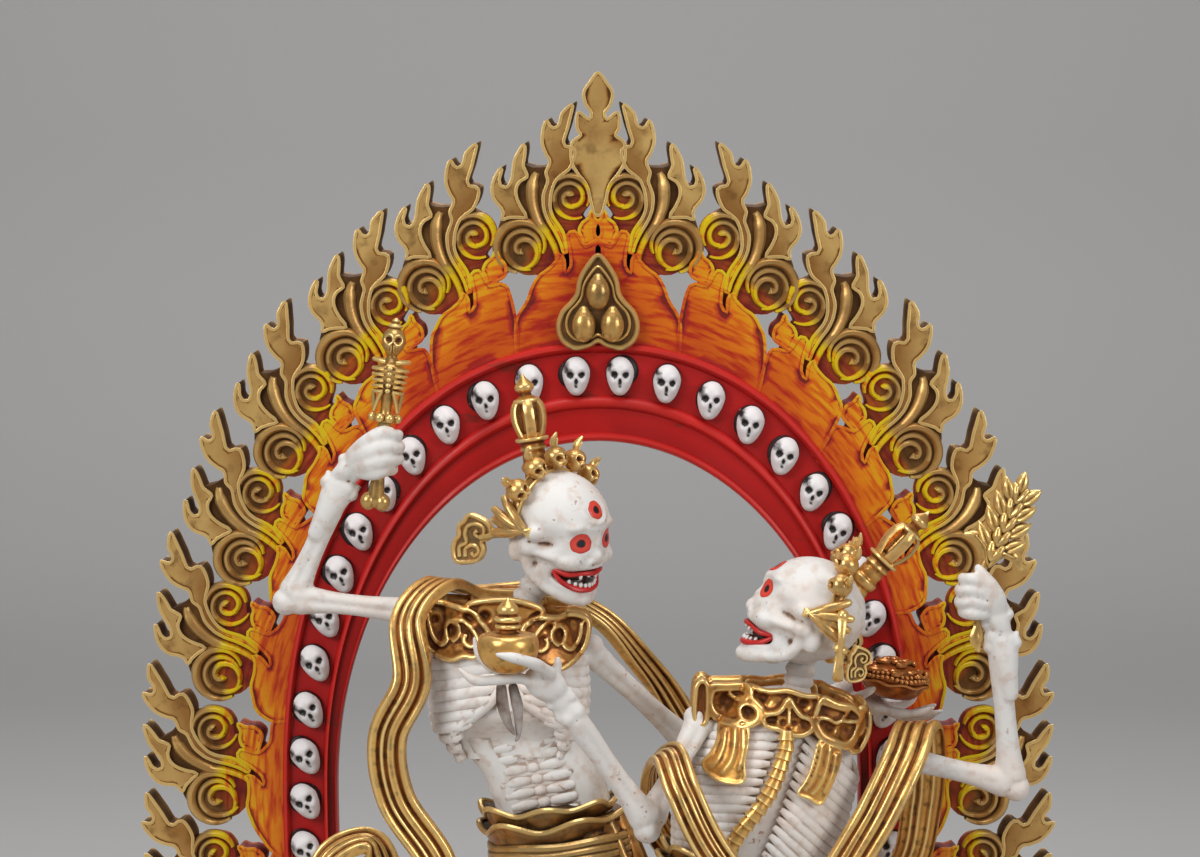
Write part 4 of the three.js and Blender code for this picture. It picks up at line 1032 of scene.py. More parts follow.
def eye_disc(shape, centre, out, across, high):
    """An eye painted flat on the skull, with its share from the middle stored for the paint."""
    bm = bmesh.new()
    layer = bm.verts.layers.float.new("from_middle")
    out = Vector(out).normalized()
    side = out.cross(Vector((0, 0, 1))).normalized()
    rise = side.cross(out)
    rings, clear, proud, sunk = 7, 6, 0.16, 0.02
    rows = []
    for i in range(rings + 1):
        row = []
        for a in angles(32):
            ragged = 1 + 0.03 * math.sin(3 * a + across) + 0.02 * math.sin(7 * a)
            from_here = Vector(centre) + (side * (across * math.cos(a))
                + rise * (high * math.sin(a))) * (i / rings * ragged)
            place, normal = shape.ray_cast(from_here + out * clear, -out)[:2]
            vert = bm.verts.new(place + normal * (proud if i < rings else sunk))
            vert[layer] = i / rings
            row.append(vert)
        rows.append(row)
    for inner, outer in zip(rows, rows[1:]):
        for k in range(len(inner)):
            after = (k + 1) % len(inner)
            bm.faces.new((inner[k], outer[k], outer[after], inner[after]))
    bmesh.ops.remove_doubles(bm, verts=bm.verts[:], dist=0.001)
    bmesh.ops.recalc_face_normals(bm, faces=bm.faces[:])
    if sum(face.normal.dot(out) for face in bm.faces) < 0:
        bmesh.ops.reverse_faces(bm, faces=bm.faces[:])
    return bm


def head_eyes(shape, eye_x, eye_z):
    """Both eyes, set eye_x to either side, and the third on the forehead."""
    parts = [eye_disc(shape, (side * eye_x, -11.75, eye_z), (side * 0.34, -1, 0.05), 2.9, 2.5)
             for side in (-1, 1)]
    return parts + [eye_disc(shape, (0, -11.75, 6.9), (0, -1, 0.5), 2.3, 2.4)]


def head_lips():
    """The red lips along both jaws, in one set for the red paint."""
    upper = [(-7.4, -5.6, -9.2), (-6.0, -9.0, -9.9), (-3.2, -11.6, -9.4), (0, -12.4, -9.5),
             (3.2, -11.6, -9.4), (6.0, -9.0, -9.9), (7.4, -5.6, -9.2)]
    lower = [(-7.4, -5.4, -9.6), (-6.2, -7.8, -12.2), (-3.4, -10.2, -13.7), (0, -11.1, -14.0),
             (3.4, -10.2, -13.7), (6.2, -7.8, -12.2), (7.4, -5.4, -9.6)]
    rise = Vector((0, -0.6, 1))
    return [bar(upper, (0.9, 1.2, 1.0, 1.3, 1.0, 1.2, 0.9), (0.5, 0.7, 0.55, 0.7, 0.55, 0.7, 0.5), rise, 0.8),
            bar(lower, (0.9, 1.5, 1.9, 2.0, 1.9, 1.5, 0.9), (0.5, 0.7, 0.75, 0.8, 0.75, 0.7, 0.5), rise, 0.8)]


def head_teeth():
    """Short blunt teeth in the lower gum, a fang at each upper corner."""
    parts = []
    for i in range(-4, 5):
        spread = abs(i) / 4
        parts.append(blob((i * 1.2, -11.4 + 2.5 * spread ** 2, -13.0 + 0.8 * spread ** 2),
                          (0.52, 0.5, 0.8 - 0.2 * (i % 2)), segments=8))
    for side in (-1, 1):
        parts.append(blob((side * 3.4, -11.3, -10.1), (0.5, 0.5, 1.0), segments=8))
        parts.append(blob((side * 1.4, -12.1, -10.0), (0.5, 0.45, 0.5), segments=8))
    return parts


def matt_white(name, wash_and_shade, clean):
    """Matt white paint, rubbed through in pits; dirt is how much the crevices darken, brown wash and painted
    shade together, read off the occlusion; ridges are a little lighter.
    """
    white = Finish(name, 0.55)
    crevice = white.sum(white.noise(240, 6), 0.5, white.sum(white.stored("open"), 1.5, -wash_and_shade))
    crevice = white.sum(white.stored("ridge"), 0.25, crevice)
    chalky = white.ramp(crevice, ((0.0, (0.12, 0.045, 0.02)), (0.14, (0.34, 0.22, 0.15)),
                                  (0.3, (0.52, 0.44, 0.38)), (0.55, tuple(part * 0.91 for part in clean)),
                                  (0.9, clean)))
    speck = white.ramp(white.noise(480, 3), ((0.655, 0.0), (0.7, 0.8)))
    worn_through = white.sum(speck, white.ramp(white.noise(52, 4), ((0.46, 0.0), (0.62, 1.0))), 0.0)
    chalky = white.mix(worn_through, chalky, (0.3, 0.11, 0.04))
    chalky = white.blotted(chalky, (60, 6), ((0.46, 0.0), (0.72, 0.42)), (0.76, 0.57, 0.45))
    chalky = white.blotted(chalky, (330, 5), ((0.5, 0.0), (0.66, 0.42)), (0.56, 0.39, 0.29))
    return white.coat(chalky, 600, 0.00007)


def plain_paint(name, roughness, noise, stops, grain):
    """A paint of one colour, in lighter and darker blots."""
    paint = Finish(name, roughness)
    return paint.coat(paint.ramp(paint.noise(*noise), stops), 500, grain)


bone_white = matt_white("bone_white", 0.72, (0.73, 0.71, 0.68))
eyes = Finish("eye_paint", 0.35)
iris = eyes.sum(eyes.noise(500, 3), 0.12, eyes.sum(eyes.stored("from_middle"), 1.0, -0.06))
eye_colour = eyes.ramp(iris, ((0.36, (0.01, 0.008, 0.01)), (0.42, (0.5, 0.03, 0.02)),
                              (0.5, (0.72, 0.07, 0.045)), (0.92, (0.66, 0.05, 0.03)),
                              (1.0, (0.45, 0.02, 0.015))))
eye_paint = eyes.coat(eye_colour, 600, 0.00004)
lip_paint = plain_paint("lip_paint", 0.35, (300, 4),
                        ((0.3, (0.42, 0.012, 0.012)), (0.7, (0.68, 0.03, 0.025))), 0.00005)
tooth_paint = plain_paint("tooth_paint", 0.3, (300, 4), ((0.3, (0.62, 0.5, 0.44)), (0.6, (0.88, 0.86, 0.84))),
                          0.00003)
# the inside of the open mouth: a near-black blob, a painted shadow
mouth_shadow = plain_paint("mouth_shadow", 0.6, (200, 3),
                          ((0.3, (0.02, 0.008, 0.006)), (0.8, (0.06, 0.02, 0.015))), 0.00004)


def moved(parts, matrix):
    """The same parts, moved by a matrix; a part that is a mesh with its own matrix gets a new one."""
    for part in parts:
        if not isinstance(part, tuple):
            bmesh.ops.transform(part, matrix=matrix, verts=part.verts[:])
    return [(part[0], matrix @ part[1]) if isinstance(part, tuple) else part for part in parts]


for who, eye_x, eye_z in (("lord", 4.8, -1.4), ("lady", 3.8, 0.5)):
    skull = bone_skull(eye_x, eye_z)
    skull_surface = BVHTree.FromBMesh(skull)
    piece(who + "_skull", moved([skull], heads[who]), bone_white, reach=2.5, groove_shading=0.9)
    for name, parts, paint in (("_eyes", head_eyes(skull_surface, eye_x, eye_z), eye_paint),
                               ("_lips", head_lips(), lip_paint),
                               ("_teeth", head_teeth(), tooth_paint),
                               ("_mouth", [blob((0, -4.6, -11.1), (6.0, 5.4, 1.9))], mouth_shadow)):
        piece(who + name, moved(parts, heads[who]), paint)

# Limbs: each arm and leg is one casting, a knob at every joint and a grooved shaft between, as if of two
# bones side by side.
joints = {
    "lord": {
        "arms": [(((-45.9, -10, 178.4), (-77.2, -4, 181.1), (-64.2, -8, 209.8)), 0.3),
                 (((-2.5, -8, 168.5), (23.6, 9, 141.4), (63.8, 14, 154.1)), 0.3)],
        "legs": [((-12.7, -6, 106.2), (-41.9, -22, 92.6), (-19.7, -14, 67.5), (-8.6, -20, 61)),
                 ((0.5, -6, 105.4), (-13.1, -30, 83.2), (-4.6, -8, 40), (-8, -21, 36.3))],
        "neck": [(-22.8, -9, 172), (-17.5, -8.6, 182), (-12.5, -8, 191)]},
    "lady": {
        "arms": [(((25.4, -16, 151.9), (12.3, -32, 129.5), (-6.3, -42, 157.8)), 0.3),
                 (((74, -10, 142.1), (104.4, -6, 134.2), (100.4, -10, 172.4)), 0.08)],
        "legs": [((20.2, -10, 97.3), (31.3, -32, 77.5), (23.4, -8, 40), (27, -21, 36.3)),
                 ((31.4, -8, 96.9), (59.7, -24, 86.7), (38.9, -14, 62.4), (28, -19, 56.5))],
        "neck": [(48.1, -11, 152), (50.4, -11.4, 162), (51.6, -11, 171)]}}


def shaft(start, end, face, ends, middle, groove):
    """A long bone: swollen at its ends, thin between, with a groove down its face and its back."""
    start, end = Vector(start), Vector(end)
    along, up, across = axes_at((start, end), 0, face)
    stations = 26
    length = (end - start).length
    rings = []
    for i in range(stations + 1):
        t = i / stations
        flare = math.exp(-(t * length / 5.5) ** 2), math.exp(-((1 - t) * length / 5.5) ** 2)
        width = middle * (1 + 0.10
                          * math.cos(2 * math.pi
                                     * t)) + (ends[0] - middle) * flare[0] + (ends[1] - middle) * flare[1]
        cap = min(1.0, math.sqrt(max(0.04, 1 - (1 - min(1.0, min(t, 1 - t) * length / 1.8)) ** 2)))
        cut = groove * min(1.0, 4.5 * t, 4.5 * (1 - t))
        ring = []
        for a in angles(20):
            c, s = math.cos(a), math.sin(a)
            deep = 1 - cut * math.exp(-(c / 0.30) ** 2)
            ring.append(start + along * (t * length) + across * (c * width * cap)
                        + up * (s * width * 0.84 * cap * deep))
        rings.append(ring)
    return swept(rings)


def knob(at, size, axis):
    """A joint's pair of condyles, side by side along an axis."""
    axis = axis.normalized() * size * 0.42
    return [blob(Vector(at) + axis * sign, (size * 0.82,) * 3, segments=16) for sign in (-1, 1)]


def limb(points, sizes, middle, groove=0.34):
    """The long bones of a limb through its joints, with a pair of condyles at each and a bump behind."""
    points = [Vector(p) for p in points]
    hinge = (points[1] - points[0]).cross(points[2] - points[1]).normalized()
    side = hinge if hinge.y < 0 else -hinge
    face = toward * 0.7 + side * 0.3
    parts = []
    for i, (a, b) in enumerate(zip(points, points[1:])):
        parts.append(shaft(a, b, face, (sizes[i] * 0.92, sizes[i + 1] * 0.92), middle, groove))
    for i, point in enumerate(points):
        along = (points[min(i + 1, len(points) - 1)] - points[max(i - 1, 0)]).normalized()
        parts += knob(point, sizes[i], face.cross(along))
    elbow = points[1] - (points[0].lerp(points[2], 0.5) - points[1]).normalized() * sizes[1] * 0.55
    parts.append(blob(elbow, (sizes[1] * 0.62,) * 3, segments=14))
    return parts


def foot(ankle, toe):
    """A bony foot: heel, long metatarsals and five toes."""
    ankle, toe = Vector(ankle), Vector(toe)
    ahead = toe - ankle
    ahead.z *= 0.4
    across = ahead.cross(Vector((0, 0, 1))).normalized()
    parts = [blob(ankle - ahead * 0.32 + Vector((0, 0, -1.6)), (2.6, 3.0, 2.2), segments=14),
             blob(ankle, (3, 3, 3), segments=14)]
    for i in range(5):
        spread = across * (i - 2) * 1.7
        root = ankle + spread * 0.45 + Vector((0, 0, -0.4))
        middle = ankle.lerp(toe, 0.62) + spread * 0.9
        tip = toe + spread * 1.15 - ahead.normalized() * abs(i - 2) * 0.8 + Vector((0, 0, -0.3))
        parts.append(bar([root, middle, middle.lerp(tip, 0.5) + Vector((0, 0, 0.7)), tip],
                         (2.2, 2.0, 1.7, 1.3), (1.1, 1.1, 1.0, 0.8),
                         Vector((0, 0, 1)), 1.2, 8))
    return parts


def neck_bones(points):
    """Seven vertebrae stacked up the neck."""
    rows = smooth_line(points, 0.5)
    count = len(rows) - 1
    full = []
    for i, row in enumerate(rows):
        swell = 0.84 + 0.3 * abs(math.sin(math.pi * 7 * i / count)) ** 0.6
        full.append((*row[:3], 6.8 * swell, 3.4 * swell))
    return strand(full, toward, 18)


def cuff(at, along, across, half, back):
    """The flared head of a forearm or hand bone, drawn out to a point at either side."""
    at, along = Vector(at), Vector(along).normalized()
    across = (Vector(across) - Vector(across).dot(along) * along).normalized()
    parts = [bar([at - along * back, at - along * back * 0.5, at - along * back * 0.15, at],
                 (half, half * 1.3, half * 1.75, half * 2.0),
                 (half * 0.3, half * 0.56, half * 0.66, half * 0.64), toward, 0.6, 16)]
    for side in (-1, 1):
        edge = at + across * side * half * 0.82
        parts.append(bar([edge - along * 1.6, edge, edge + across * side * half * 0.2 + along * half * 0.28],
                         (half * 0.8, half * 0.6, half * 0.24), (half * 0.46, half * 0.4, half * 0.14),
                         toward, 0.5, 8))
    return parts


def finger(points, width=3.0):
    """A bony finger from its root to its tip, a little swollen at its joints."""
    return bar(points, (width, width * 0.84, width * 0.95, width * 0.8, width * 0.82, width * 0.36),
               (width * 0.52, width * 0.44, width * 0.5, width * 0.42, width * 0.42, width * 0.18),
               toward, 0.8, 12)


lord_hands = [
    bar([(-61.4, -9.8, 218.0), (-57.2, -12.6, 221.4), (-53.0, -13.2, 223.8), (-51.0, -12.4, 222.8)],
        (3.6, 4.4, 4.4, 3.4), (1.8, 2.0, 2.0, 1.6)),
    bar([(-61.2, -9.8, 216.6), (-57.0, -13.2, 218.6), (-53.2, -13.8, 220.3), (-50.6, -12.6, 219.9)],
        (4.6, 5.2, 5.0, 3.6), (2.0, 2.2, 2.0, 1.6)),
    bar([(-60.8, -9.8, 215.2), (-56.8, -13.2, 216.0), (-53.4, -13.8, 217.1), (-51.0, -12.6, 216.9)],
        (4.6, 5.2, 5.0, 3.6), (2.0, 2.2, 2.0, 1.6)),
    bar([(-60.0, -9.8, 214.0), (-56.2, -12.8, 213.8), (-54.0, -13.2, 214.2), (-52.2, -12.4, 214.5)],
        (3.8, 4.4, 4.2, 3.2), (1.8, 2.0, 1.9, 1.5)),
    blob((-55.4, -8.6, 217.4), (4.2, 3.4, 5.2)),
    blob((70, 13.2, 151.2), (5.4, 4.2, 2.6), Matrix.Rotation(0.35, 4, "Y"), 18),
    finger([(71, 10, 151), (77, 8, 149.6), (82, 5, 150.2), (85.5, 2.5, 152.0)]),
    finger([(72, 12, 150.4), (79, 11, 148.4), (84, 9, 148.8), (88, 7, 150.4)]),
    finger([(72, 15, 150.4), (79, 15, 148.2), (84, 14.6, 149.2), (87, 13, 151.0)]),
    finger([(71, 17, 151), (77, 18.5, 149.4), (81, 19, 151), (83, 18.6, 153.6)]),
    finger([(66, 10, 153.5), (68, 5.4, 155), (71, 3, 157.4)], 2.8)]
for x, z in ((-50.6, 222.9), (-50.1, 219.9), (-50.4, 216.9), (-52.0, 214.2)):
    curl = [(x - 1.6, -12.8, z), (x + 0.4, -11.2, z), (x + 0.3, -8.4, z), (x - 2.6, -6.6, z)]
    lord_hands.append(bar(curl, (2.8, 2.9, 2.8, 2.4), (1.5, 1.5, 1.5, 1.2), Vector((1, 0, 0)), 0.7, 12))
lord_hands += cuff((-64.2, -7.6, 210.6), (0.45, 0, 0.89), (0.82, 0, -0.57), 4.4, 15)
lord_hands += cuff((-61.0, -9.0, 215.4), (0.84, 0, 0.54), (0.54, 0, -0.84), 3.4, 5.5)
lady_hands = [
    bar([(100.0, -10.5, 177.6), (98.6, -12.4, 182.5), (96.4, -13.2, 187.0), (94.8, -12.6, 190.0)],
        (6.2, 6.6, 5.0, 2.2), (2.2, 2.2, 1.8, 1.0), toward, 0.9, 14),
    blob((94.4, -9.6, 183.0), (4.0, 3.2, 5.4)),
    blob((-12.6, -43.2, 165.6), (5.6, 3.2, 4.2), Matrix.Rotation(0.55, 4, "Y"), 20),
    finger([(-11.5, -46.0, 168.6), (-14.5, -51.0, 171.4), (-19.0, -54.2, 173.4), (-24.0, -54.0, 174.4)], 3.4),
    finger([(-14, -44, 165.0), (-19, -45.4, 167.4), (-24.6, -45.6, 166.9), (-29.6, -45.0, 166.8),
            (-33.4, -44.6, 169.4)], 3.2),
    finger([(-15, -42, 165.6), (-21, -41.6, 167.6), (-26.2, -41.2, 169.6), (-29.0, -40.8, 173.0),
            (-29.8, -40.6, 176.4)], 3.0),
    finger([(-10.6, -42.6, 166.6), (-9.8, -43.2, 169.6), (-9.6, -43.8, 172.2)], 2.8)]
for root, middle, knuckle in (((96.4, 184.8), (93.4, 187.2), (91.8, 186.8)),
                              ((97.2, 182.8), (93.2, 184.5), (91.0, 184.0)),
                              ((97.4, 180.4), (93.2, 181.5), (90.9, 181.1)),
                              ((96.4, 178.2), (93.2, 178.5), (91.8, 178.6))):
    curl = [(root[0], -12.8, root[1]), (middle[0], -14.2, middle[1]), (knuckle[0], -12.8, knuckle[1]),
            (knuckle[0] - 0.3, -9.6, knuckle[1]), (knuckle[0] + 2.4, -7.4, knuckle[1])]
    lady_hands.append(bar(curl, (2.9, 3.3, 3.1, 2.9, 2.4), (1.5, 1.7, 1.6, 1.5, 1.2), toward, 0.7, 12))
lady_hands += cuff((-9.4, -42.6, 162.6), (-0.4, 0, 1), (1, 0, 0.4), 3.3, 5.0) + cuff((-7.6, -42.2, 159.6),
    (-0.45, 0, 1), (1, 0, 0.45), 3.3, 5.0)
lady_hands += cuff((99.4, -10.6, 178.0), (-0.42, 0, 0.9), (0.9, 0, 0.42), 3.8,
                   6.5) + cuff((101.2, -10, 171.6), (-0.16, 0, 0.98), (0.95, 0, 0.3), 4.2, 15)
for who, hands in (("lord", lord_hands), ("lady", lady_hands)):
    bones = list(hands)
    for arm, groove in joints[who]["arms"]:
        bones += limb(arm, (3.6, 4.3, 3.0), 3.0, groove)
    piece(who + "_arms", [merged(bones, 0.42, 3)], bone_white, reach=2.5, groove_shading=0.8)
    bones = []
    for hip, knee, ankle, toe in joints[who]["legs"]:
        bones += limb((hip, knee, ankle), (4.4, 4.6, 3.2), 2.9) + foot(ankle, toe)
    piece(who + "_legs", [merged(bones, 0.5, 2)], bone_white, reach=2.5, groove_shading=0.8)
    piece(who + "_neck", [neck_bones(joints[who]["neck"])], bone_white,
          [who + "_figure"], reach=2.5)

# Ribcages: an inner barrel with one thick rounded rib above another on it, from the spine round the flanks
# to the breastbone, all cast in one and painted like the limbs. The lord's ribs end at an arch below the
# breast; the lady's go on down to the waist.
chests = {
    "lord": {"top": (-22.9, -10, 176), "bottom": (-22, -10, 142), "widths": (15, 19.0, 19.6, 18.9, 13),
             "depths": (10, 12.4, 13, 12.2, 9.5),
             "count": 10, "first": 0.19, "step": 0.077, "fall": 0.11,
             "ends": (6, 6, 6, 6, 9, 17, 28, 40, 51, 62), "open": 0.66},
    "lady": {"top": (50.5, -12, 155), "bottom": (33, -12, 108), "widths": (15.5, 19.6, 21.0, 19.2, 14.6),
             "depths": (10, 12.6, 13.6, 12.6, 10.5),
             "count": 18, "first": 0.08, "step": 0.0475, "fall": 0.17, "ends": (9,) * 18, "open": 2}}


def on_chest(chest, down, angle, out=0.0):
    """A point of a ribcage, a share down it and degrees round from the breastbone to the viewer's right."""
    top, bottom = Vector(chest["top"]), Vector(chest["bottom"])
    axis = (bottom - top).normalized()
    right = toward.cross(axis)
    share = min(1.0, max(0.0, down))
    width, depth = (spread_over(share, chest[key]) + out for key in ("widths", "depths"))
    a = math.radians(angle)
    return top.lerp(bottom, down) + right * (width * math.sin(a)) + toward * (depth * math.cos(a))


def rib(chest, index, side, width):
    """One thick rib, from beside the breastbone round the flank to the spine."""
    base = chest["first"] + index * chest["step"]
    rows, steps = [], 34
    start = chest["ends"][index]
    for k in range(steps + 1):
        angle = start + (176 - start) * k / steps
        falling = chest["fall"] * math.sin(math.radians(min(90, angle))) ** 1.2
        rising = chest["fall"] * 0.9 * max(0.0, -math.cos(math.radians(angle)))
        end = min(1.0, (k + 0.6) / 3)
        point = on_chest(chest, base + falling - rising, side * angle, 0.1)
        rows.append((*point, width * end ** 0.5, 1.1 * end ** 0.5))
    centre = Vector(chest["top"]).lerp(Vector(chest["bottom"]), base)
    return strand(rows, lambda at: (at - centre) * Vector((1, 1, 0.2)), 10)


def ribcage(chest, width):
    """The barrel of a chest, hollow in front below its open share, with the ribs on it."""
    rings = []
    for k in range(31):
        down = -0.06 + 1.06 * k / 30
        close = min(1.0, 0.45 + (down + 0.06) * 7)
        ring = []
        for j in range(48):
            angle = 360 * j / 48
            point = on_chest(chest, down, angle, -0.9)
            centre = Vector(chest["top"]).lerp(Vector(chest["bottom"]), down)
            hollow = 1.0
            if down > chest["open"] and math.cos(math.radians(angle)) > 0.2:
                hollow = 1 - 0.55 * min(1.0, (down - chest["open"]) * 5) * math.cos(math.radians(angle))
            ring.append(centre + (point - centre) * Vector((close, close * hollow, close)))
        rings.append(ring)
    return [swept(rings)] + [rib(chest, i, side, width) for i in range(chest["count"]) for side in (-1, 1)]


lord_torso = ribcage(chests["lord"], 3.35)
chest = chests["lord"]
for side in (-1, 1):
    arch_points = [on_chest(chest, chest["first"] + i * chest["step"], side * chest["ends"][i], -0.1)
                   for i in range(3, 10)]
    arch_points.append(on_chest(chest, 1.0, side * 74, -0.6))
    lord_torso.append(bar(arch_points, (2.4, 2.8, 3.0, 2.6), (0.9, 1.2, 1.2, 0.9), toward, 1.0, 10))
breastbone = [(*on_chest(chests["lord"], down, 0, 0.2), 5.6, 1.0) for down in np.linspace(0.02, 0.6, 16)]
lord_torso.append(strand(breastbone, toward, 10))

# The lord's belly is sunk below the arch of his ribs: the backbone shows in it with a short rung to either
# side of every vertebra, between smooth flanks.
belly = [(-23.8, -6.6, 158.5, 14, 7), (-22.4, -7.6, 155, 16, 9), (-20.9, -8.4, 151, 16.6, 10.3),
         (-18.4, -8, 145, 15, 10), (-15.3, -7.5, 139.4, 13.8, 9.8), (-13.1, -7, 134.4, 14.1, 9.6),
         (-11.6, -6.5, 130, 14.3, 9.6), (-10.5, -6, 122, 14.8, 9.6)]
rings = []
for row in smooth_line(belly, 1.2):
    x, y, z, wide, deep = row
    ring = []
    for a in angles(56):
        front = max(0.0, math.cos(a))
        sunk = 1 - 0.42 * math.exp(-(math.sin(a) / 0.62) ** 4) * (front > 0)
        lean = Vector((1, 0, 0.16))
        ring.append(Vector((x, y, z)) + lean * (wide * math.sin(a)) + toward * (deep * math.cos(a) * sunk))
    rings.append(ring)
lord_torso.append(swept(rings))
for i in range(8):
    t = i / 7
    centre = Vector((-19.0, -14.9, 148.6)).lerp(Vector((-12.6, -13.0, 127.6)), t)
    lord_torso.append(blob(centre + Vector((0, 1.5, 0)), (1.9, 1.3, 1.5), Matrix.Rotation(-0.16, 4, "Y"), 12))
    for side in (-1, 1):
        reach = 7.4 + 1.2 * math.sin(math.pi * t)
        inner = centre + Vector((side * 1.9, 1.3, side * 0.3))
        outer = centre + Vector((side * reach, 0.8, side * reach * 0.2 + 0.2))
        lord_torso.append(bar([inner, inner.lerp(outer, 0.5) + Vector((0, -0.3, 0)), outer], (2.0, 2.7, 2.2),
                              (0.6, 0.75, 0.6), toward, 0.9, 10))
ribbed_white = matt_white("ribbed_white", 0.95, (0.84, 0.82, 0.79))
piece("lord_torso", lord_torso, ribbed_white, reach=2.0)
piece("lady_torso", ribcage(chests["lady"], 2.95), ribbed_white, reach=2.0)

# The lady's belly, largely behind her scarf, and the pelvis of both.
lady_belly = smooth_line([(34, -12, 116, 13.5, 9.5), (32, -11, 108, 12, 8.6), (29, -10, 100, 12.5, 8.8),
                          (27, -10, 95, 13, 8)], 1.5)
lord_hips = smooth_line([(-12, -6, 124, 14, 9), (-8, -6, 116, 13, 8.6), (-5, -6, 108, 13.5, 8.8),
                         (-5, -6, 103, 11, 7)], 1.5)
for who, rows in (("lady", lady_belly), ("lord", lord_hips)):
    rings = [[Vector((x + wide * math.cos(a), y + deep * math.sin(a), z)) for a in angles(32)]
             for x, y, z, wide, deep in rows]
    piece(who + "_hips", [swept(rings)], bone_white, reach=2.0)

# Cloud collars: gilded castings that lie on the shoulders, each lobe a raised rim round a hollow with a pit
# that the gilding darkens as painted shade, drawn here as seen from the front and bent over the ribs; the
# back repeats the front.
fluted_gold = gilded("rubbed_sash_gold", (0.05, 0.018, 0.006), (0.42, 0.15, 0.03), (0.68, 0.36, 0.085),
                     (0.98, 0.74, 0.3))
cloud_gold = gilded("rubbed_cloud_gold", (0.02, 0.008, 0.003), (0.26, 0.082, 0.016), (0.56, 0.26, 0.056),
                    (0.92, 0.68, 0.28))


def front_of(chest, x, z):
    """Where the front of a ribcage lies, as y, at a place seen from the front."""
    top, bottom = Vector(chest["top"]), Vector(chest["bottom"])
    axis = (bottom - top).normalized()
    place = Vector((x, top.y, z)) - top
    down = min(1.0, max(0.0, place.dot(axis) / (bottom - top).length))
    width, depth = (spread_over(down, chest[key]) + 1.2 for key in ("widths", "depths"))
    return top.y - depth * math.sqrt(max(0.12, 1 - (place.dot(toward.cross(axis)) / width) ** 2))


def draped(made, chest, pits=(), behind=False):
    """Bends a relief drawn in front view over a ribcage and presses pits of (x, z, radius, depth) in it."""
    for vert in made.verts:
        x, y, z = vert.co
        for px, pz, radius, depth in pits:
            if y < 0:
                y += depth * math.exp(-(((x - px) ** 2 + (z - pz) ** 2) / radius ** 2) ** 1.5)
        front = front_of(chest, x, z)
        vert.co.y = 2 * chest["top"][1] - front - y if behind else front + y
    if behind:
        bmesh.ops.reverse_faces(made, faces=made.faces[:])
    return made


def rim(points, width=1.5, height=1.3, closed=False, base=-0.9):
    """A rounded bar drawn on a relief, through (u, v) points; base is the depth of its middle."""
    rows = [(u, base, v, width, height) for u, v, *_ in smooth_line(points, 0.6, closed)]
    return strand(rows, toward, 8, closed)


lord_lobes = [
    [(-43.6, 181.6), (-43.4, 176), (-42.4, 170.6), (-39.6, 168.6), (-36.4, 168.2), (-33.4, 169.3),
     (-30.6, 169.2), (-27.8, 171), (-26.6, 174), (-28.4, 177), (-31, 179.6), (-36, 181)],
    [(-18.4, 176), (-16.8, 172), (-15.6, 168.4), (-12.6, 166.4), (-9.4, 165.9), (-6.4, 167.2), (-4.0, 169.6),
     (-2.6, 173), (-2.6, 177), (-6, 178.6), (-10, 178), (-14.4, 178.4)]]
lord_back_row = [(-32, 181.6), (-30, 176), (-26.6, 173.4), (-22.5, 172.6), (-18.4, 173.6), (-15.4, 177),
                 (-14, 180.5), (-22, 183)]
lord_lines = [
    [(-42.6, 179.4), (-41.4, 174), (-39.4, 171.4), (-37.6, 172.6), (-37.9, 175.6), (-36.6, 177.3),
     (-34.6, 176.2), (-34.8, 173.8), (-36.2, 172.4)],
    [(-36.6, 177.4), (-33.4, 177.7), (-31.2, 175.8), (-29.6, 173.0), (-31.4, 171.6), (-33.2, 172.6),
     (-32.6, 174.4)],
    [(-4.0, 176.6), (-4.6, 172.8), (-6.4, 170.4), (-8.4, 171.6), (-8.0, 174.6), (-9.4, 176.3), (-11.2, 175.2),
     (-10.9, 172.8), (-9.5, 171.6)],
    [(-9.4, 176.4), (-12.6, 176.9), (-15, 175), (-16, 172.2), (-14.2, 170.6), (-12.4, 171.6), (-13, 173.4)]]
lord_pits = [(-36.2, 174.6, 1.5, 1.5), (-32.2, 174, 1.2, 1.1), (-31.8, 178.6, 1.5, 1.6),
             (-27.9, 179, 1.3, 1.6), (-12, 176.4, 1.0, 1.0), (-9.6, 173.6, 1.4, 1.5),
             (-13.6, 172.9, 1.1, 1.1), (-15.6, 178.2, 1.3, 1.4), (-22, 178, 1.6, 1.4),
             (-40.6, 177.4, 1.0, 0.9)]
lady_lobes = [
    [(28.0, 160.6), (32, 161.0), (37.3, 160.9), (38, 158.3), (40.2, 156.6), (40.4, 153.9), (37, 152.0),
     (33, 152.1), (29.2, 153.0), (27.6, 156)],
    [(40.9, 154.6), (41.4, 152.4), (44.2, 151.6), (47.2, 150.3), (50.6, 150.0), (53.0, 151.6), (52.6, 153.6),
     (50.3, 154.6), (48.6, 156.4), (47.1, 158.6), (45.6, 156.4), (43.8, 155.2)],
    [(54.0, 155.4), (53.4, 152), (55.8, 148.6), (59.0, 147.4), (62.0, 146.2), (64.6, 148.6), (65.6, 152.6),
     (63.4, 155.9), (59, 157.4), (55.6, 158.8)],
    [(24.6, 161), (27.2, 161.2), (27.0, 152.4), (24.2, 152.2)],
    [(65.4, 155.8), (67.4, 154), (67.2, 149), (64.8, 144.6), (62.8, 146), (65.6, 149.4), (66.4, 152.4)]]
lady_back_row = [(37, 160.6), (42, 160.2), (46.8, 160.6), (51, 159.4), (55.4, 158.6), (55, 153), (50, 152),
                 (44, 152.6), (38, 154)]
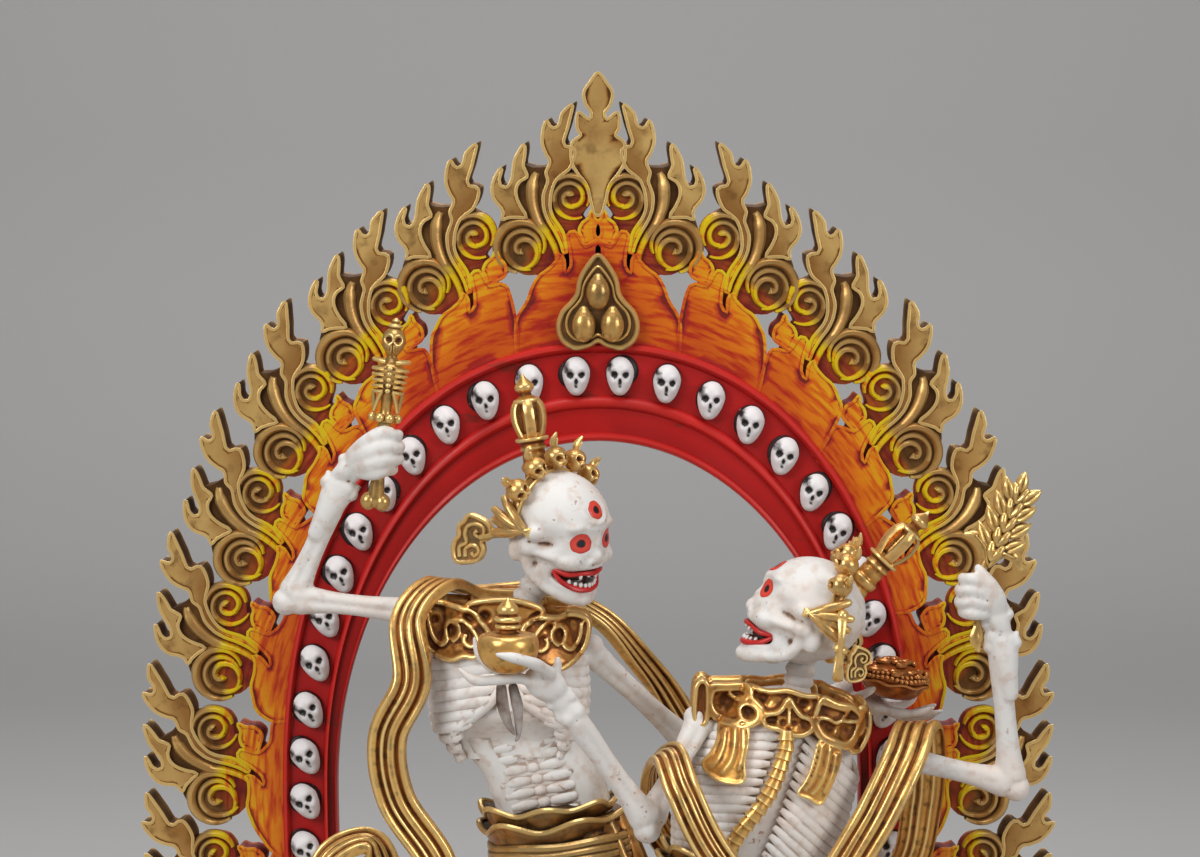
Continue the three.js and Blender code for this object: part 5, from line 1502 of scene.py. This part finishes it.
lady_lines = [
    [(28.6, 160.0), (28.2, 156.4), (29.8, 153.8), (33, 152.9), (35.2, 153.4), (35.0, 156), (36.6, 157.2),
     (38.8, 156.4), (39.5, 154.6), (37.8, 153.1), (35.4, 153.4)],
    [(28.6, 160.0), (32.5, 160.2), (36.4, 160.2), (36.8, 158.6), (34.2, 158.0), (32.6, 159.2)],
    [(55.2, 158.0), (59, 156.6), (61.8, 155.4), (60.8, 153.4), (62.6, 152.6), (64.6, 152.2), (63.8, 149),
     (61.6, 147.2), (58.6, 148.4), (56.4, 149.6), (54.4, 152.2), (54.8, 154), (56.8, 153.8), (58.6, 152.6),
     (60.6, 153.2)]]
lady_pits = [(31.4, 157.2, 1.9, 1.6), (37.3, 155.1, 1.2, 1.1), (43.3, 153.4, 1.2, 0.9),
             (50.6, 152.4, 1.2, 0.9), (61.6, 154.2, 1.1, 1.1), (57.4, 151.6, 1.5, 1.0), (61, 150, 1.6, 1.1),
             (41, 158.4, 1.3, 1.2), (51, 157.4, 1.3, 1.2), (45.6, 152.9, 0.9, 0.7), (48.6, 152.6, 0.9, 0.7)]
collars = {"lord": (lord_lobes, lord_back_row, lord_lines, lord_pits),
           "lady": (lady_lobes, lady_back_row, lady_lines, lady_pits)}
for who, (lobes, back_row, lines, pits) in collars.items():
    reliefs = []
    for behind in (False, True):
        parts = [slab(outlined(back_row, 0.8), -0.6, 1.6), rim(back_row, 1.6, 1.2, True, -0.5)]
        for lobe in lobes:
            parts += [slab(outlined(lobe, 0.8), -1.5, 0.6), rim(lobe, 1.7, 1.5, True, -1.3)]
        parts += [rim(line, 1.5, 1.6, False, -1.3) for line in lines]
        if who == "lady":
            parts.append(rim([(47.1, 158), (47.2, 155.5), (47.1, 152.4)], 1.2, 1.2, False, -1.5))
        reliefs.append(draped(merged(parts, 0.36, 1), chests[who], pits, behind))
    piece(who + "_collar", reliefs, cloud_gold, reach=2.0)

# The lady's sash: a twisted gilded cord down her breastbone, and a folded end of it either side.
sash_line = [(46.6, 151), (46.4, 147), (45.4, 143.6), (44, 139.6), (42.1, 135.6), (39.8, 132.2), (37.4, 129),
             (35, 125.8), (33.2, 122.8), (31.6, 119.6)]
rows = smooth_line([(x, 0, z) for x, z in sash_line], 0.3)
twists = 15
full = []
for i, (x, _, z) in enumerate(rows):
    saw = (i / (len(rows) - 1) * twists) % 1
    swell = 0.78 + 0.34 * saw
    full.append((x, front_of(chests["lady"], x, z) - 1.7, z, 4.1 * swell, 1.7 * swell))
sash_parts = [strand(full, toward, 12)]
left_flap = [(30.4, 152.4), (33.4, 151.8), (36.8, 152.6), (36.9, 148), (36.0, 143.4), (35.9, 138.8),
             (32.4, 138.2), (28.6, 139.2), (25.9, 142.0), (27.9, 144.6), (29.6, 148)]
right_flap = [(54.9, 148.6), (57.4, 147.4), (60.0, 145.9), (59.6, 142), (58.2, 138.6), (56.8, 135.4),
              (55, 132.7), (52.2, 134.4), (49.4, 135.8), (51.4, 138.8), (52.9, 142.4), (53.8, 145.6)]
flap_folds = [[(33.9, 151.4), (33.7, 147.4), (32.8, 143.6), (30.6, 140.6)],
              [(31.4, 151.2), (30.9, 147), (29.4, 143.4), (27.8, 142)],
              [(35.9, 151.4), (35.8, 146), (34.8, 141.6)],
              [(57.4, 146.6), (56.6, 142), (55, 138), (53, 135.6)],
              [(55.4, 147.6), (54.4, 143), (52.6, 138.6), (51, 136.6)],
              [(59, 145), (58.2, 140.6), (56, 135.6)]]
flap_parts = []
for flap in (left_flap, right_flap):
    flap_parts += [slab(outlined(flap, 0.8), -2.3, 0.0), rim(flap, 0.9, 0.8, True, -1.9)]
flap_parts += [rim(fold, 1.7, 0.9, False, -2.0) for fold in flap_folds]
sash_parts.append(draped(merged(flap_parts, 0.36, 2), chests["lady"]))
piece("lady_sash", sash_parts, fluted_gold, reach=2.0)

# Skirts: sheet metal pleated into a flounced waistband with rolled, wavy edges over a knotted sash, flaring
skirt_gold = gilded("rubbed_skirt_gold", (0.008, 0.003, 0.002), (0.07, 0.024, 0.007), (0.36, 0.15, 0.032),
                    (0.94, 0.68, 0.27))


def wavy_ring(centre, half, wave, count, phase, tilt, width=1, height=1):
    """A rolled edge round a skirt: an oval of half sizes, waving up and down and in and out."""
    rows = []
    for a in angles(144):
        swing = wave * math.sin(count * a + phase) + wave * 0.5 * math.sin((count - 2) * a + phase * 1.7)
        x, y = (half[0] + swing * 0.45) * math.cos(a), (half[1] + swing * 0.45) * math.sin(a)
        rows.append((centre[0] + x, centre[1] + y, centre[2] + swing * 0.55 + tilt * x, width, height))
    return rows


def frilled(centre, half, wave, count, phase, tilt, drop, shrink):
    """A flounce: its rolled edge, and the sheet that falls from it inwards and down."""
    edge = wavy_ring(centre, half, wave, count, phase, tilt, 1.5, 0.75)
    low = wavy_ring((centre[0], centre[1], centre[2] - drop), (half[0] * shrink, half[1] * shrink),
                    wave * 0.5, count, phase, tilt)
    rings = [[Vector(a[:3]).lerp(Vector(b[:3]), share) for a, b in zip(edge, low)]
             for share in (0, 0.25, 0.5, 0.75, 1)]
    return [strand(edge, Vector((0, 0, 1)), 8, closed=True), swept(rings)]


def skirt(waist, hem, half_waist, half_hem, pleats, tilt):
    """The pleated body of a skirt from its waist to its hem, folds deepening downwards."""
    rings = []
    steps = 22
    for k in range(steps + 1):
        t = k / steps
        centre = Vector(waist).lerp(Vector(hem), t)
        ring = []
        for a in angles(192):
            fold = math.sin(pleats * a + 0.8 * math.sin(2 * a)) * (0.35
                + 1.9 * t) + 0.5 * math.sin(3 * pleats * a + 1) * t
            wide = half_waist[0] + (half_hem[0] - half_waist[0]) * t ** 0.8 + fold
            deep = half_waist[1] + (half_hem[1] - half_waist[1]) * t ** 0.8 + fold * 0.8
            ring.append(centre + Vector((wide * math.cos(a), deep * math.sin(a),
                tilt * (1 - t) * wide * math.cos(a) - 1.1 * t * math.sin(pleats * a))))
        rings.append(ring)
    return swept(rings)


lord_skirt = [skirt((-9, -6, 126), (-4, -5, 98), (15.4, 11), (21.5, 15.0), 14, 0.14)]
lord_skirt += frilled((-12.4, -7, 129.4), (17.2, 12.6), 1.8, 7, 0.6, 0.1, 5, 0.86)
lord_skirt += frilled((-11.6, -7, 125.6), (18.2, 13.4), 1.9, 6, 2.6, 0.12, 5, 0.84)
lady_skirt = [skirt((31.5, -13, 116), (28, -13, 91), (13.4, 9.6), (18.4, 13.4), 13, -0.1)]
lady_skirt += frilled((31.6, -13, 118.2), (14.8, 10.8), 1.5, 7, 0.2, -0.12, 4, 0.86)
lady_skirt += frilled((31.3, -13, 115.0), (15.6, 11.4), 1.6, 6, 1.9, -0.12, 4, 0.84)
for who, parts, centre, half, z, tilt in (("lord", lord_skirt, (-9.6, -6.6), (17.4, 12.6), 120.5, 0.12),
        ("lady", lady_skirt, (31, -13), (15.2, 11.2), 111.4, -0.1)):
    for i in range(4):
        edge = wavy_ring((*centre, z - 1.9 * i), (half[0] + 0.2 * i, half[1] + 0.2 * i), 0.5, 5, i * 0.9,
                         tilt, 2.3, 1.1)
        parts.append(strand(edge, lambda at: Vector((at.x - centre[0], at.y - centre[1], 0)), 8, closed=True))
    low = (centre[0] + (2.5 if who == "lord" else -1.5), centre[1] + 0.8)
    for i, drop in enumerate((8, 12.5, 17)):
        grow = 1.12 + 0.06 * i
        edge = wavy_ring((*low, z - drop), (half[0] * grow, half[1] * grow), 1.1, 14, i * 1.3, 0, 1.6, 0.9)
        parts.append(strand(edge, Vector((0, 0, 1)), 8, closed=True))
    piece(who + "_skirt", parts, skirt_gold, reach=4.0)

# Scarves: long gilded strips of pleated sheet, four ridges across with brown wax and painted shade in the
# grooves between, laid over the arms and shoulders and riveted where they touch.
front, level = (0, -1, 0), (0, 0, 1)
lord_route = [
    ((-56, -22, 88), front), ((-69, -20, 100), (-1, -1, 0)), ((-68, -18, 116), (-1, -0.6, 0)),
    ((-58, -15, 121), (0, -0.4, 1)),
    ((-53, -15, 112), (0.5, -1, 0)), ((-48, -18, 99), front), ((-40, -22, 103), front),
    ((-40, -22, 117), front), ((-50, -22, 133), front),
    ((-52, -24, 149), front), ((-46, -24, 163), front), ((-47, -19, 178), (-0.6, -1, 0.4)),
    ((-40, -9, 185), (-0.2, -0.3, 1)),
    ((-31, 1, 181.5), level), ((-15, 3.2, 181), (0, -0.4, 1)), ((0, 4.5, 175), (0.4, -0.6, 1)),
    ((11, 9, 163), (0.6, -1, 0.5)),
    ((21, 16, 149), front), ((31, 17.5, 130), front), ((24, 17.5, 106), front), ((12, 17, 84), front),
    ((-2, 16, 70), front)]
lady_route = [
    ((60, -32, 84), front), ((54, -32, 96), front), ((59, -26, 112), front), ((69, -25, 130), front),
    ((76, -20, 143), (0, -1, 0.5)),
    ((80, -9, 149), level), ((83, 2.6, 143), (0, 1, 0.3)), ((83, 6.4, 126), (0, 1, 0)),
    ((78, 8, 108), (0.3, 1, 0)),
    ((58, 11, 100), (0, 1, 0)), ((34, 11, 104), (0, 1, 0.2)), ((17, 6, 118), (-0.6, 1, 0.2)),
    ((13.5, -8, 136), (-1, 0.2, 0.4)),
    ((17.2, -28, 145.5), (-0.4, -0.3, 1)), ((20.5, -39.4, 139), (0, -1, 0.4)), ((28, -40, 124), front),
    ((42, -37, 106), front),
    ((54, -38, 94), front), ((50, -38, 80), front)]


def scarf(route, widths, thickness):
    """A pleated strip on a route of places and the ways its face looks, its half width given along it."""
    rows = smooth_line([(*at, *face) for at, face in route], 1.1)
    rings = []
    last = len(rows) - 1
    across_steps = 48
    for i, row in enumerate(rows):
        at = Vector(row[:3])
        _, up, across = axes_at(rows, i, Vector(row[3:]))
        t = i / last
        wide = float(np.interp(t, *widths))
        top, under = [], []
        grooves = [(-0.5 + 0.07 * math.sin(5 * t + 1), 0.9),
                   (0.02 + 0.1 * math.sin(7 * t), 0.75 + 0.25 * math.sin(9 * t)),
                   (0.5 + 0.06 * math.sin(6 * t + 2), 0.85),
                   (0.26 + 0.05 * math.sin(11 * t), 0.5 * max(0.0, math.sin(8 * t + 1)))]
        for k in range(across_steps + 1):
            s = -1 + 2 * k / across_steps
            cut = sum(deep * math.exp(-((s - place) / 0.1) ** 2) for place, deep in grooves)
            flute = max(0.0, 1 - cut)
            edge = min(1.0, (1 - abs(s)) * 9) ** 0.5
            dome = 0.35 * (1 - s * s) + 0.3 * math.exp(-((abs(s) - 0.8) / 0.16) ** 2)
            rise = thickness * (0.1 + 0.75 * flute * edge + dome * edge)
            top.append(at + across * (s * wide) + up * rise)
            under.append(at + across * (s * wide * 0.97) - up
                         * (thickness * (0.55 - 0.4 * flute * edge) - thickness * dome * 0.3))
        rings.append(top + under[::-1])
    return swept(rings)


lord_widths = (0, 0.06, 0.12, 0.5, 0.6, 0.9, 1), (6.4, 6.2, 4.9, 4.9, 3.8, 3.8, 6.2)
lady_widths = (0, 0.06, 0.12, 0.3, 0.42, 0.88, 0.95, 1), (6, 5.8, 5.3, 5.6, 4.5, 4.3, 5.6, 6)
piece("lord_shawl", [scarf(lord_route, lord_widths, 1.5)], fluted_gold, ["lord_scarf"])
piece("lady_shawl", [scarf(lady_route, lady_widths, 1.3)], fluted_gold, ["lady_scarf"])

# Crowns: over each head stands an arch with five small gilded skulls, a leaf of flame on each; behind it
# the topknot ends in half a sceptre, and four drops fan out behind each ear.
head = ball(26, 20, face_first)
for vert in head.verts:
    x, y, z = vert.co
    jaw = max(0.0, -z)
    vert.co = Vector((x * (2.95 - 1.1 * jaw), y * 3.0 - 0.5 * jaw * (y < 0), z * (2.7 if z > 0 else 3.1)))
    if y < 0:
        push = dents(vert.co, 1.15, 0.1, 0.72, 1.35)
        push += dent(vert.co, (0, -1.2), 0.35, 0.5) + dent(vert.co, (0, -2.3), 0.35, 0.45) - dent(vert.co,
            (0, -0.4), 0.5, 0.5)
        push -= dents(vert.co, 1.5, -1.3, 0.6, 0.35)
        vert.co.y += push
crown_skull = as_mesh("crown_skull", head)


def turned(profile, axis_from, axis_to, sides=28, step=0.35):
    """A turned piece on an axis, from its profile of (length along the axis, radius)."""
    start, end = Vector(axis_from), Vector(axis_to)
    along = (end - start).normalized()
    across = along.orthogonal().normalized()
    beside = along.cross(across)
    return swept([[start + along * s + (across * math.cos(a) + beside * math.sin(a)) * max(r, 0.05)
                   for a in angles(sides)]
                  for s, r, _ in smooth_line([(s, r, 0) for s, r in profile], step)])


def topknot():
    """The bound hair, ringed, and half a sceptre on it: five bowed prongs round a core, under a bud."""
    foot, tip = Vector((0, 9, 9)), Vector((0, 17.8, 34.1))
    along = (tip - foot).normalized()
    stem = [(-3, 3.2), (0, 3.3), (1.6, 3.0), (2.4, 3.5), (3.6, 3.6), (4.4, 3.0), (6.2, 3.0), (7, 2.8),
            (7.8, 3.3), (8.6, 3.0), (9.4, 3.1), (9.8, 4.1), (10.4, 4.2), (10.8, 3.4), (11.6, 2.4),
            (12.2, 1.7), (18, 1.5), (19, 2.3), (19.5, 3.2), (20.1, 3.3), (20.6, 2.4), (21.2, 1.5),
            (21.9, 1.5), (22.6, 2.3), (23.6, 2.4), (24.6, 1.6), (25.6, 0.7), (26.6, 0.2)]
    parts = [turned(stem, foot, tip)]
    across = along.orthogonal().normalized()
    for k in range(5):
        out = Matrix.Rotation(math.radians(72 * k + 36), 3, along) @ across
        prong = [foot + along * s + out * r
                 for s, r in ((10.6, 2.6), (12, 3.2), (14.4, 3.9), (17, 4.0), (18.8, 3.5), (19.9, 2.7))]
        parts.append(strand([(*row[:3], w, 0.6)
                             for row, w in zip(smooth_line(prong, 1.0), np.linspace(2.7, 2.1, 60))],
                            lambda at: at - foot - along * (at - foot).dot(along), 8))
    return parts


def crown():
    """One whole headdress in the head's own axes."""
    parts = topknot()
    band = [(12.4 * math.sin(math.radians(a)), 5, 12.4 * math.cos(math.radians(a)), 3.2, 0.7)
            for a in range(-94, 95, 4)]
    edges = [[(x * 1.03, y + edge * 1.3, z * 1.03, 0.9, 0.6) for x, y, z, _, _ in band] for edge in (-1, 1)]
    parts += [strand(rows, lambda at: Vector((at.x, 0, at.z)), 8) for rows in (band, *edges)]
    for angle in (-54, -27, 0, 27, 54):
        a = math.radians(angle)
        out = Vector((math.sin(a), 0, math.cos(a)))
        turn = Matrix.Rotation(a * 0.9, 4, "Y")
        parts.append((crown_skull, Matrix.Translation(out * 16.2 + Vector((0, 3.8, 0))) @ turn
                      @ Matrix.Rotation(-0.12, 4, "X")))
        leaf_rows = [out * r + Vector((0, y, 0))
                     for r, y in ((18.2, 4.6), (19.4, 5.0), (20.8, 5.0), (22.2, 4.6))]
        parts.append(bar(leaf_rows, (1.3, 2.4, 2.6, 1.7, 0.7), (0.7, 1.0, 1.0, 0.7, 0.3), toward, 0.6, 8))
        parts.append(bar([row + Vector((0, -0.9, 0)) for row in leaf_rows[:3]], (0.5, 0.5), (0.4, 0.4),
                         toward, 0.6, 6))
    for side in (-1, 1):
        for k, (dy, dz) in enumerate(((7.4, 6.6), (9.6, 3.2), (10.0, 0.2), (9.2, -2.6))):
            root = Vector((side * 13.2, -1.6, -0.8 + 0.5 * k))
            far = Vector((side * (13.6 + 0.8 * (k % 2)), dy, dz))
            rows = [root, root.lerp(far, 0.35) + Vector((side * 0.7, 0, 0)),
                    root.lerp(far, 0.7) + Vector((side * 0.7, 0, 0)), far]
            parts.append(bar(rows, (1.2, 2.2, 2.7, 2.6, 1.9), (0.7, 1.2, 1.4, 1.3, 0.9),
                             Vector((side, 0, 0)), 0.8, 10))
        parts.append(bar([(side * 12.8, 4, -2.2), (side * 13.6, 9, -3.6), (side * 14.2, 13.4, -5.4)],
                         (1.5, 1.5), (0.75, 0.75), Vector((side, 0, 0)), 1.0, 8))
    return parts


def cloud_scroll():
    """The knotted end of a headband: a flat cloud of three lobes, facing the viewer."""
    edge = [(-1.0, 5.8), (0.9, 5.5), (3.4, 4.3), (4.7, 2.5), (4.2, 0.4), (2.4, -0.6), (2.7, -2.9),
            (1.6, -5.0), (-1.0, -5.9), (-4.3, -5.7), (-5.1, -3.3), (-4.7, -0.8), (-3.6, 0.7),
            (-3.6, 2.9), (-2.2, 4.3)]
    lines = [[(-3.5, -4.6), (-3.4, -2.2), (-1.7, -0.9), (-2.0, 1.2), (-1.2, 3.1), (0.9, 3.7), (2.8, 2.9),
              (2.9, 1.2), (1.5, 0.5), (0.6, 1.4), (1.4, 2.1)],
             [(-2.0, -4.5), (-1.8, -2.6), (-0.3, -1.7), (1.2, -2.1), (1.5, -3.4), (0.4, -4.3), (-0.3, -3.4)]]
    parts = [slab(outlined(edge, 0.6), -0.5, 0.5)]
    for base, sign in ((-0.5, 1), (0.5, -1)):
        parts.append(strand([(u, base, v, 1.3, 0.7) for u, v in outlined(edge, 0.6)], toward * sign, 8,
                            closed=True))
        parts += [strand([(u, base, v, 1.2, 0.7) for u, v, *_ in smooth_line(line, 0.5)], toward * sign, 8)
                  for line in lines]
    return parts


for who, matrix in heads.items():
    parts = moved(crown(), matrix)
    for side in (-1, 1):
        at = matrix @ Vector((side * 14.4, 15.6, -6.2))
        shrink = Matrix.Diagonal((0.62, 1, 0.7, 1)) if who == "lady" else Matrix.Identity(4)
        parts += moved(cloud_scroll(), Matrix.Translation(at) @ Matrix.Rotation(0.3 * side, 4, "Z") @ shrink)
    piece(who + "_headdress", parts, cloud_gold, [who + "_crown"], reach=2.0)

hoop = []
for side in (-1, 1):
    rows = []
    for a in angles(48):
        rows.append((side * (14.6 + 2.6 * math.sin(a)), 9.8 + 2.7 * math.cos(a), -4.35 - 7.4 * math.cos(a),
                     2.3 + 0.5 * math.cos(2 * a), 0.8))
    hoop.append(strand(rows, lambda at: Vector((at.x - side * 14.6, at.y - 9.8, at.z + 4.35)), 8,
                       closed=True))
    hoop.append(blob((side * 14.6, 7.1, 3.1), (1.9, 1.6, 1.6), segments=12))
    hoop.append(blob((side * 16.8, 9.8, -4.6), (1.1, 1.9, 1.2), segments=12))
piece("lady_earrings", moved(hoop, heads["lady"]), fluted_gold)

# The lord's club: a forearm bone whose upper end is cast as a little skeleton, head and ribs, gilded.
club_foot = Vector((-55.7, -10, 205.8))
club_turn = Matrix.Translation(club_foot) @ Matrix.Rotation(math.radians(6.9), 4, "Y")
upright_axis = (0, 0, 0), (0, 0, 1)


def outward(at):
    """Away from the upright axis, at a point."""
    return Vector((at.x, at.y, 0))


club_parts = [bar([(0, 0, 0.5), (0, 0, 7), (0, 0, 14), (0, 0, 21)], (4.4, 3.2, 3.2, 3.6),
                  (2.0, 1.6, 1.6, 1.8), toward, 1.0, 12)]
club_parts += [blob((side * 1.75, 0, 0.4), (2.0, 2.1, 2.3), segments=16) for side in (-1, 1)]
club_parts += [blob((x, y, 21.6), (1.15, 1.15, 1.2), segments=12)
               for x, y in ((-3.1, 0), (-1.2, -2.0), (1.2, -2.0), (3.1, 0), (1.2, 2.0), (-1.2, 2.0))]
club_parts.append(turned([(20.5, 2.2), (23.6, 1.4), (27.6, 2.0), (30, 3.0), (34, 3.4), (35.8, 2.0),
                          (37.4, 1.2), (39, 1.4)], *upright_axis, 20, 0.5))
for i in range(6):
    height, reach, deep = 28.4 + 1.42 * i, 3.55 + 0.17 * i, 2.6 + 0.1 * i
    for side in (-1, 1):
        rows = [(side * reach * math.sin(a), -deep * math.cos(a),
                 height + (0.5 if i == 5 else -0.35) * math.sin(a), 0.95, 0.55)
                for a in (math.radians(18 + 150 * k / 14) for k in range(15))]
        club_parts.append(strand(rows, outward, 8))
    if i < 5:
        club_parts.append(blob((0, -deep - 0.1, height + 0.1), (0.75, 0.6, 0.68), segments=10))
for side in (-1, 1):
    club_parts.append(bar([(side * 1.5, -2.3, 28.2), (side * 2.3, -1.9, 25.8), (side * 2.9, -1.3, 23.4)],
                          (1.1, 1.1, 1.0), (0.7, 0.7, 0.6), toward, 0.7, 8))
    club_parts.append(bar([(side * 3.6, 0, 28.2), (side * 3.3, 0, 25.8), (side * 3.0, 0, 23.4)],
                          (1.1, 1.3, 1.0), (0.9, 0.9, 0.8), toward, 0.7, 8))
club_parts.append(blob((0, 0.1, 44.6), (1.9, 1.9, 0.7), segments=14))
club_parts.append(turned([(44.4, 1.5), (45, 1.5), (45.5, 0.9), (46, 1.0), (46.6, 0.3)],
                         *upright_axis, 14, 0.3))
skull = ball(40, 30, face_first)
for vert in skull.verts:
    x, y, z = vert.co
    vert.co = Vector((x * (3.0 - 0.75 * max(0, -z)), y * 3.2, z * (3.6 if z > 0 else 4.1)))
    if y < 0:
        push = dents(vert.co, 1.25, 0.5, 0.78, 1.2) + dent(vert.co, (0, -0.6), 0.35, 0.5)
        for tooth in range(-3, 4):
            push += 0.35 * math.exp(-((vert.co.x - tooth * 0.68) / 0.14) ** 2 - ((vert.co.z
                + 2.2) / 0.9) ** 4)
        vert.co.y += push
bmesh.ops.translate(skull, vec=(0, 0, 40.8), verts=skull.verts[:])
club_parts.append(skull)
piece("skeleton_club", moved(club_parts, club_turn), gilding, ["bone_staff"], reach=1.5)

# The lady's ear of grain: plump cleft kernels up the middle, split husks in pairs beside them and two long
# blades bent out below, on a bent stem.
grain_foot, ear_foot, ear_tip = Vector((95.4, -10, 171.5)), Vector((98.0, -10.5, 191.6)), Vector((106.0,
    -10.5, 210.4))
ear_axis = (ear_tip - ear_foot).normalized()
ear_side = toward.cross(ear_axis).normalized()
grain_parts = [bar([grain_foot, (95.6, -10, 181), (96.4, -10.4, 189.5), ear_foot.lerp(ear_tip, 0.5)],
                   (2.6, 2.0, 2.2, 1.6), (1.2, 1.0, 1.1, 0.8), toward, 1.2, 10),
               bar([(95.2, -10.2, 175), (94.6, -10.6, 171.4), (95.4, -10.6, 168.6)], (2.2, 3.4, 0.9),
                   (0.7, 0.8, 0.4), toward, 0.8, 10)]


def husk(root, way, length, width, out):
    """One split husk: two pointed halves side by side with a groove between them."""
    beside = out.cross(way).normalized() * width * 0.24
    parts = []
    for side in (-1, 1):
        rows = [root, root + way * length * 0.35 + beside * side + out * 0.5,
                root + way * length * 0.7 + beside * side * 0.8 + out * 0.5,
                root + way * length]
        parts.append(bar(rows, (width * 0.3, width * 0.56, width * 0.5, width * 0.16), (0.6, 1.0, 0.9, 0.3),
                         out, 0.8, 10))
    return parts


def both_faces(way, root, length, width):
    """A husk on the ear's front and one on its back."""
    return husk(root + toward * 0.8, way, length, width, toward) + husk(root - toward * 0.8, way, length,
        width, -toward)


for i in range(4):
    root = ear_foot.lerp(ear_tip, 0.12 + 0.215 * i)
    for side in (-1, 1):
        way = (ear_axis * math.cos(0.76 - 0.06 * i)
               + ear_side * side * math.sin(0.76 - 0.06 * i)).normalized()
        grain_parts += both_faces(way, root + ear_side * side * 1.3, 7.4 - 0.4 * i, 3.0)
grain_parts += both_faces((ear_axis + ear_side * 0.12).normalized(), ear_tip - ear_axis * 2, 5.2, 2.8)
for i in range(5):
    for out in (toward, -toward):
        at = ear_foot.lerp(ear_tip, 0.1 + 0.19 * i) + out * (1.7 - 0.1 * i)
        for side in (-1, 1):
            tip = at + ear_axis * 2.1 + ear_side * side * 1.4
            grain_parts.append(bar([at - ear_axis * 1.6, at + ear_side * side * 0.9, tip],
                                   (1.4, 2.7 - 0.2 * i, 1.7), (0.8, 1.3, 0.8), out, 0.6, 10))
for blade in (((97.4, -10.6, 190.6), (96.6, -11.4, 195), (94.4, -11.6, 197.8), (91.6, -11, 198.2)),
              ((97.6, -10.6, 190.2), (100.6, -11.6, 193.4), (103.8, -11.8, 192.4), (106, -11, 189.2))):
    grain_parts.append(bar(blade, (1.6, 2.9, 2.7, 1.0), (0.8, 0.9, 0.8, 0.3), toward, 0.8, 10))
    grain_parts.append(bar([Vector(p) + Vector((0, -0.8, 0)) for p in blade[:3]], (0.6, 0.7, 0.5),
                           (0.5, 0.5, 0.4), toward, 0.8, 6))
piece("grain_ear", grain_parts, gilding, ["grain_stalk"], reach=1.5)

# The lord's skull bowl: a gilded bowl with a beaded double rim, heaped with a coil of brown swirls.
bowl_turn = Matrix.Translation((75.8, 9, 158.4)) @ Matrix.Rotation(0.16, 4, "Y")
bowl = [(-4.6, 2.2), (-4.5, 5.2), (-3, 7.2), (-1.6, 8.0), (-0.2, 8.5), (0.6, 9.0), (1.2, 8.9), (1.5, 8.0),
        (1.7, 6), (2.0, 2), (2.1, 0.3)]
bowl_parts = [turned(bowl, *upright_axis, 64, 0.4)]
for radius, height, beads, size in ((8.9, 1.0, 44, 0.62), (8.2, 2.0, 40, 0.55)):
    for a in angles(beads):
        bowl_parts.append(blob((radius * math.cos(a), radius * math.sin(a), height + 0.25 * math.sin(6 * a)),
                               (size,) * 3, segments=8))
ring = [(8.7 * math.cos(a), 8.7 * math.sin(a), -0.4 + 0.3 * math.sin(8 * a), 0.9, 0.7) for a in angles(96)]
bowl_parts.append(strand(ring, outward, 8, closed=True))
swirls = random.Random(7)
for ring_radius, count, height in ((6.1, 7, 2.3), (2.7, 4, 4.3)):
    for k in range(count):
        a = 2 * math.pi * (k + 0.3 * swirls.random()) / count
        centre = Vector((ring_radius * math.cos(a), ring_radius * math.sin(a), height))
        turns = [(centre.x + 2.3 * (1 - t) * math.cos(9 * t + a),
                  centre.y + 2.3 * (1 - t) * math.sin(9 * t + a), centre.z + 0.7 * t)
                 for t in (j / 18 for j in range(17))]
        bowl_parts.append(bar(turns, (1.5, 1.4, 0.9), (0.8, 0.8, 0.5), Vector((0, 0, 1)), 0.6, 8))
bowl_parts.append(blob((0, 0, 2.0), (6.8, 6.8, 2.4), segments=24))
swirl_brown = gilded("swirl_brown", (0.02, 0.006, 0.003), (0.14, 0.038, 0.011), (0.36, 0.105, 0.026),
                     (0.62, 0.26, 0.075))
piece("skull_bowl", moved(bowl_parts, bowl_turn), swirl_brown, ["skull_cup"], reach=2.0)

# The lady's covered bowl: a wide dish on her palm, a neck of two rings on it and a bud, and the tip of a
# sling hanging from below her hand.
dish = [(-4.6, 1.0), (-4.4, 3.4), (-3.2, 5.2), (-1.4, 6.6), (0.6, 7.3), (2.6, 7.4), (4.0, 7.0), (4.7, 6.2),
        (4.9, 4.4), (5.0, 2.6), (5.6, 2.1), (6.0, 2.3), (6.3, 3.0), (6.9, 3.1), (7.3, 2.7), (7.6, 2.4),
        (7.9, 3.1), (8.5, 3.35), (9.0, 3.0), (9.3, 2.2), (9.8, 2.4), (10.6, 2.6), (11.5, 2.3), (12.4, 1.4),
        (13.0, 0.7), (13.5, 0.2)]
dish_parts = [turned(dish, (-21.6, -46, 173.4), (-21.6, -46, 174.4), 64, 0.25)]
piece("bud_bowl", dish_parts, fluted_gold, ["budded_bowl"], reach=2.0)
pendant = [bar([(-23.4, -40.8, 164.5), (-23.0, -41.4, 160), (-21.6, -41.8, 155.4), (-20.2, -41.6, 153.2)],
               (2.6, 3.2, 2.4, 0.9), (1.1, 1.3, 1.0, 0.5), toward, 1.0, 10),
           bar([(-20.6, -40.2, 164.5), (-19.4, -40.6, 159), (-19.2, -40.8, 153), (-19.8, -40.8, 151.4)],
               (2.4, 3.0, 2.0, 0.8), (1.0, 1.2, 0.8, 0.4), toward, 1.0, 10)]
dusky_bone = plain_paint("dusky_bone", 0.55, (160, 5),
                         ((0.35, (0.09, 0.045, 0.025)), (0.5, (0.26, 0.2, 0.17)), (0.7, (0.5, 0.46, 0.43))),
                         0.00007)
piece("sling_end", pendant, dusky_bone)
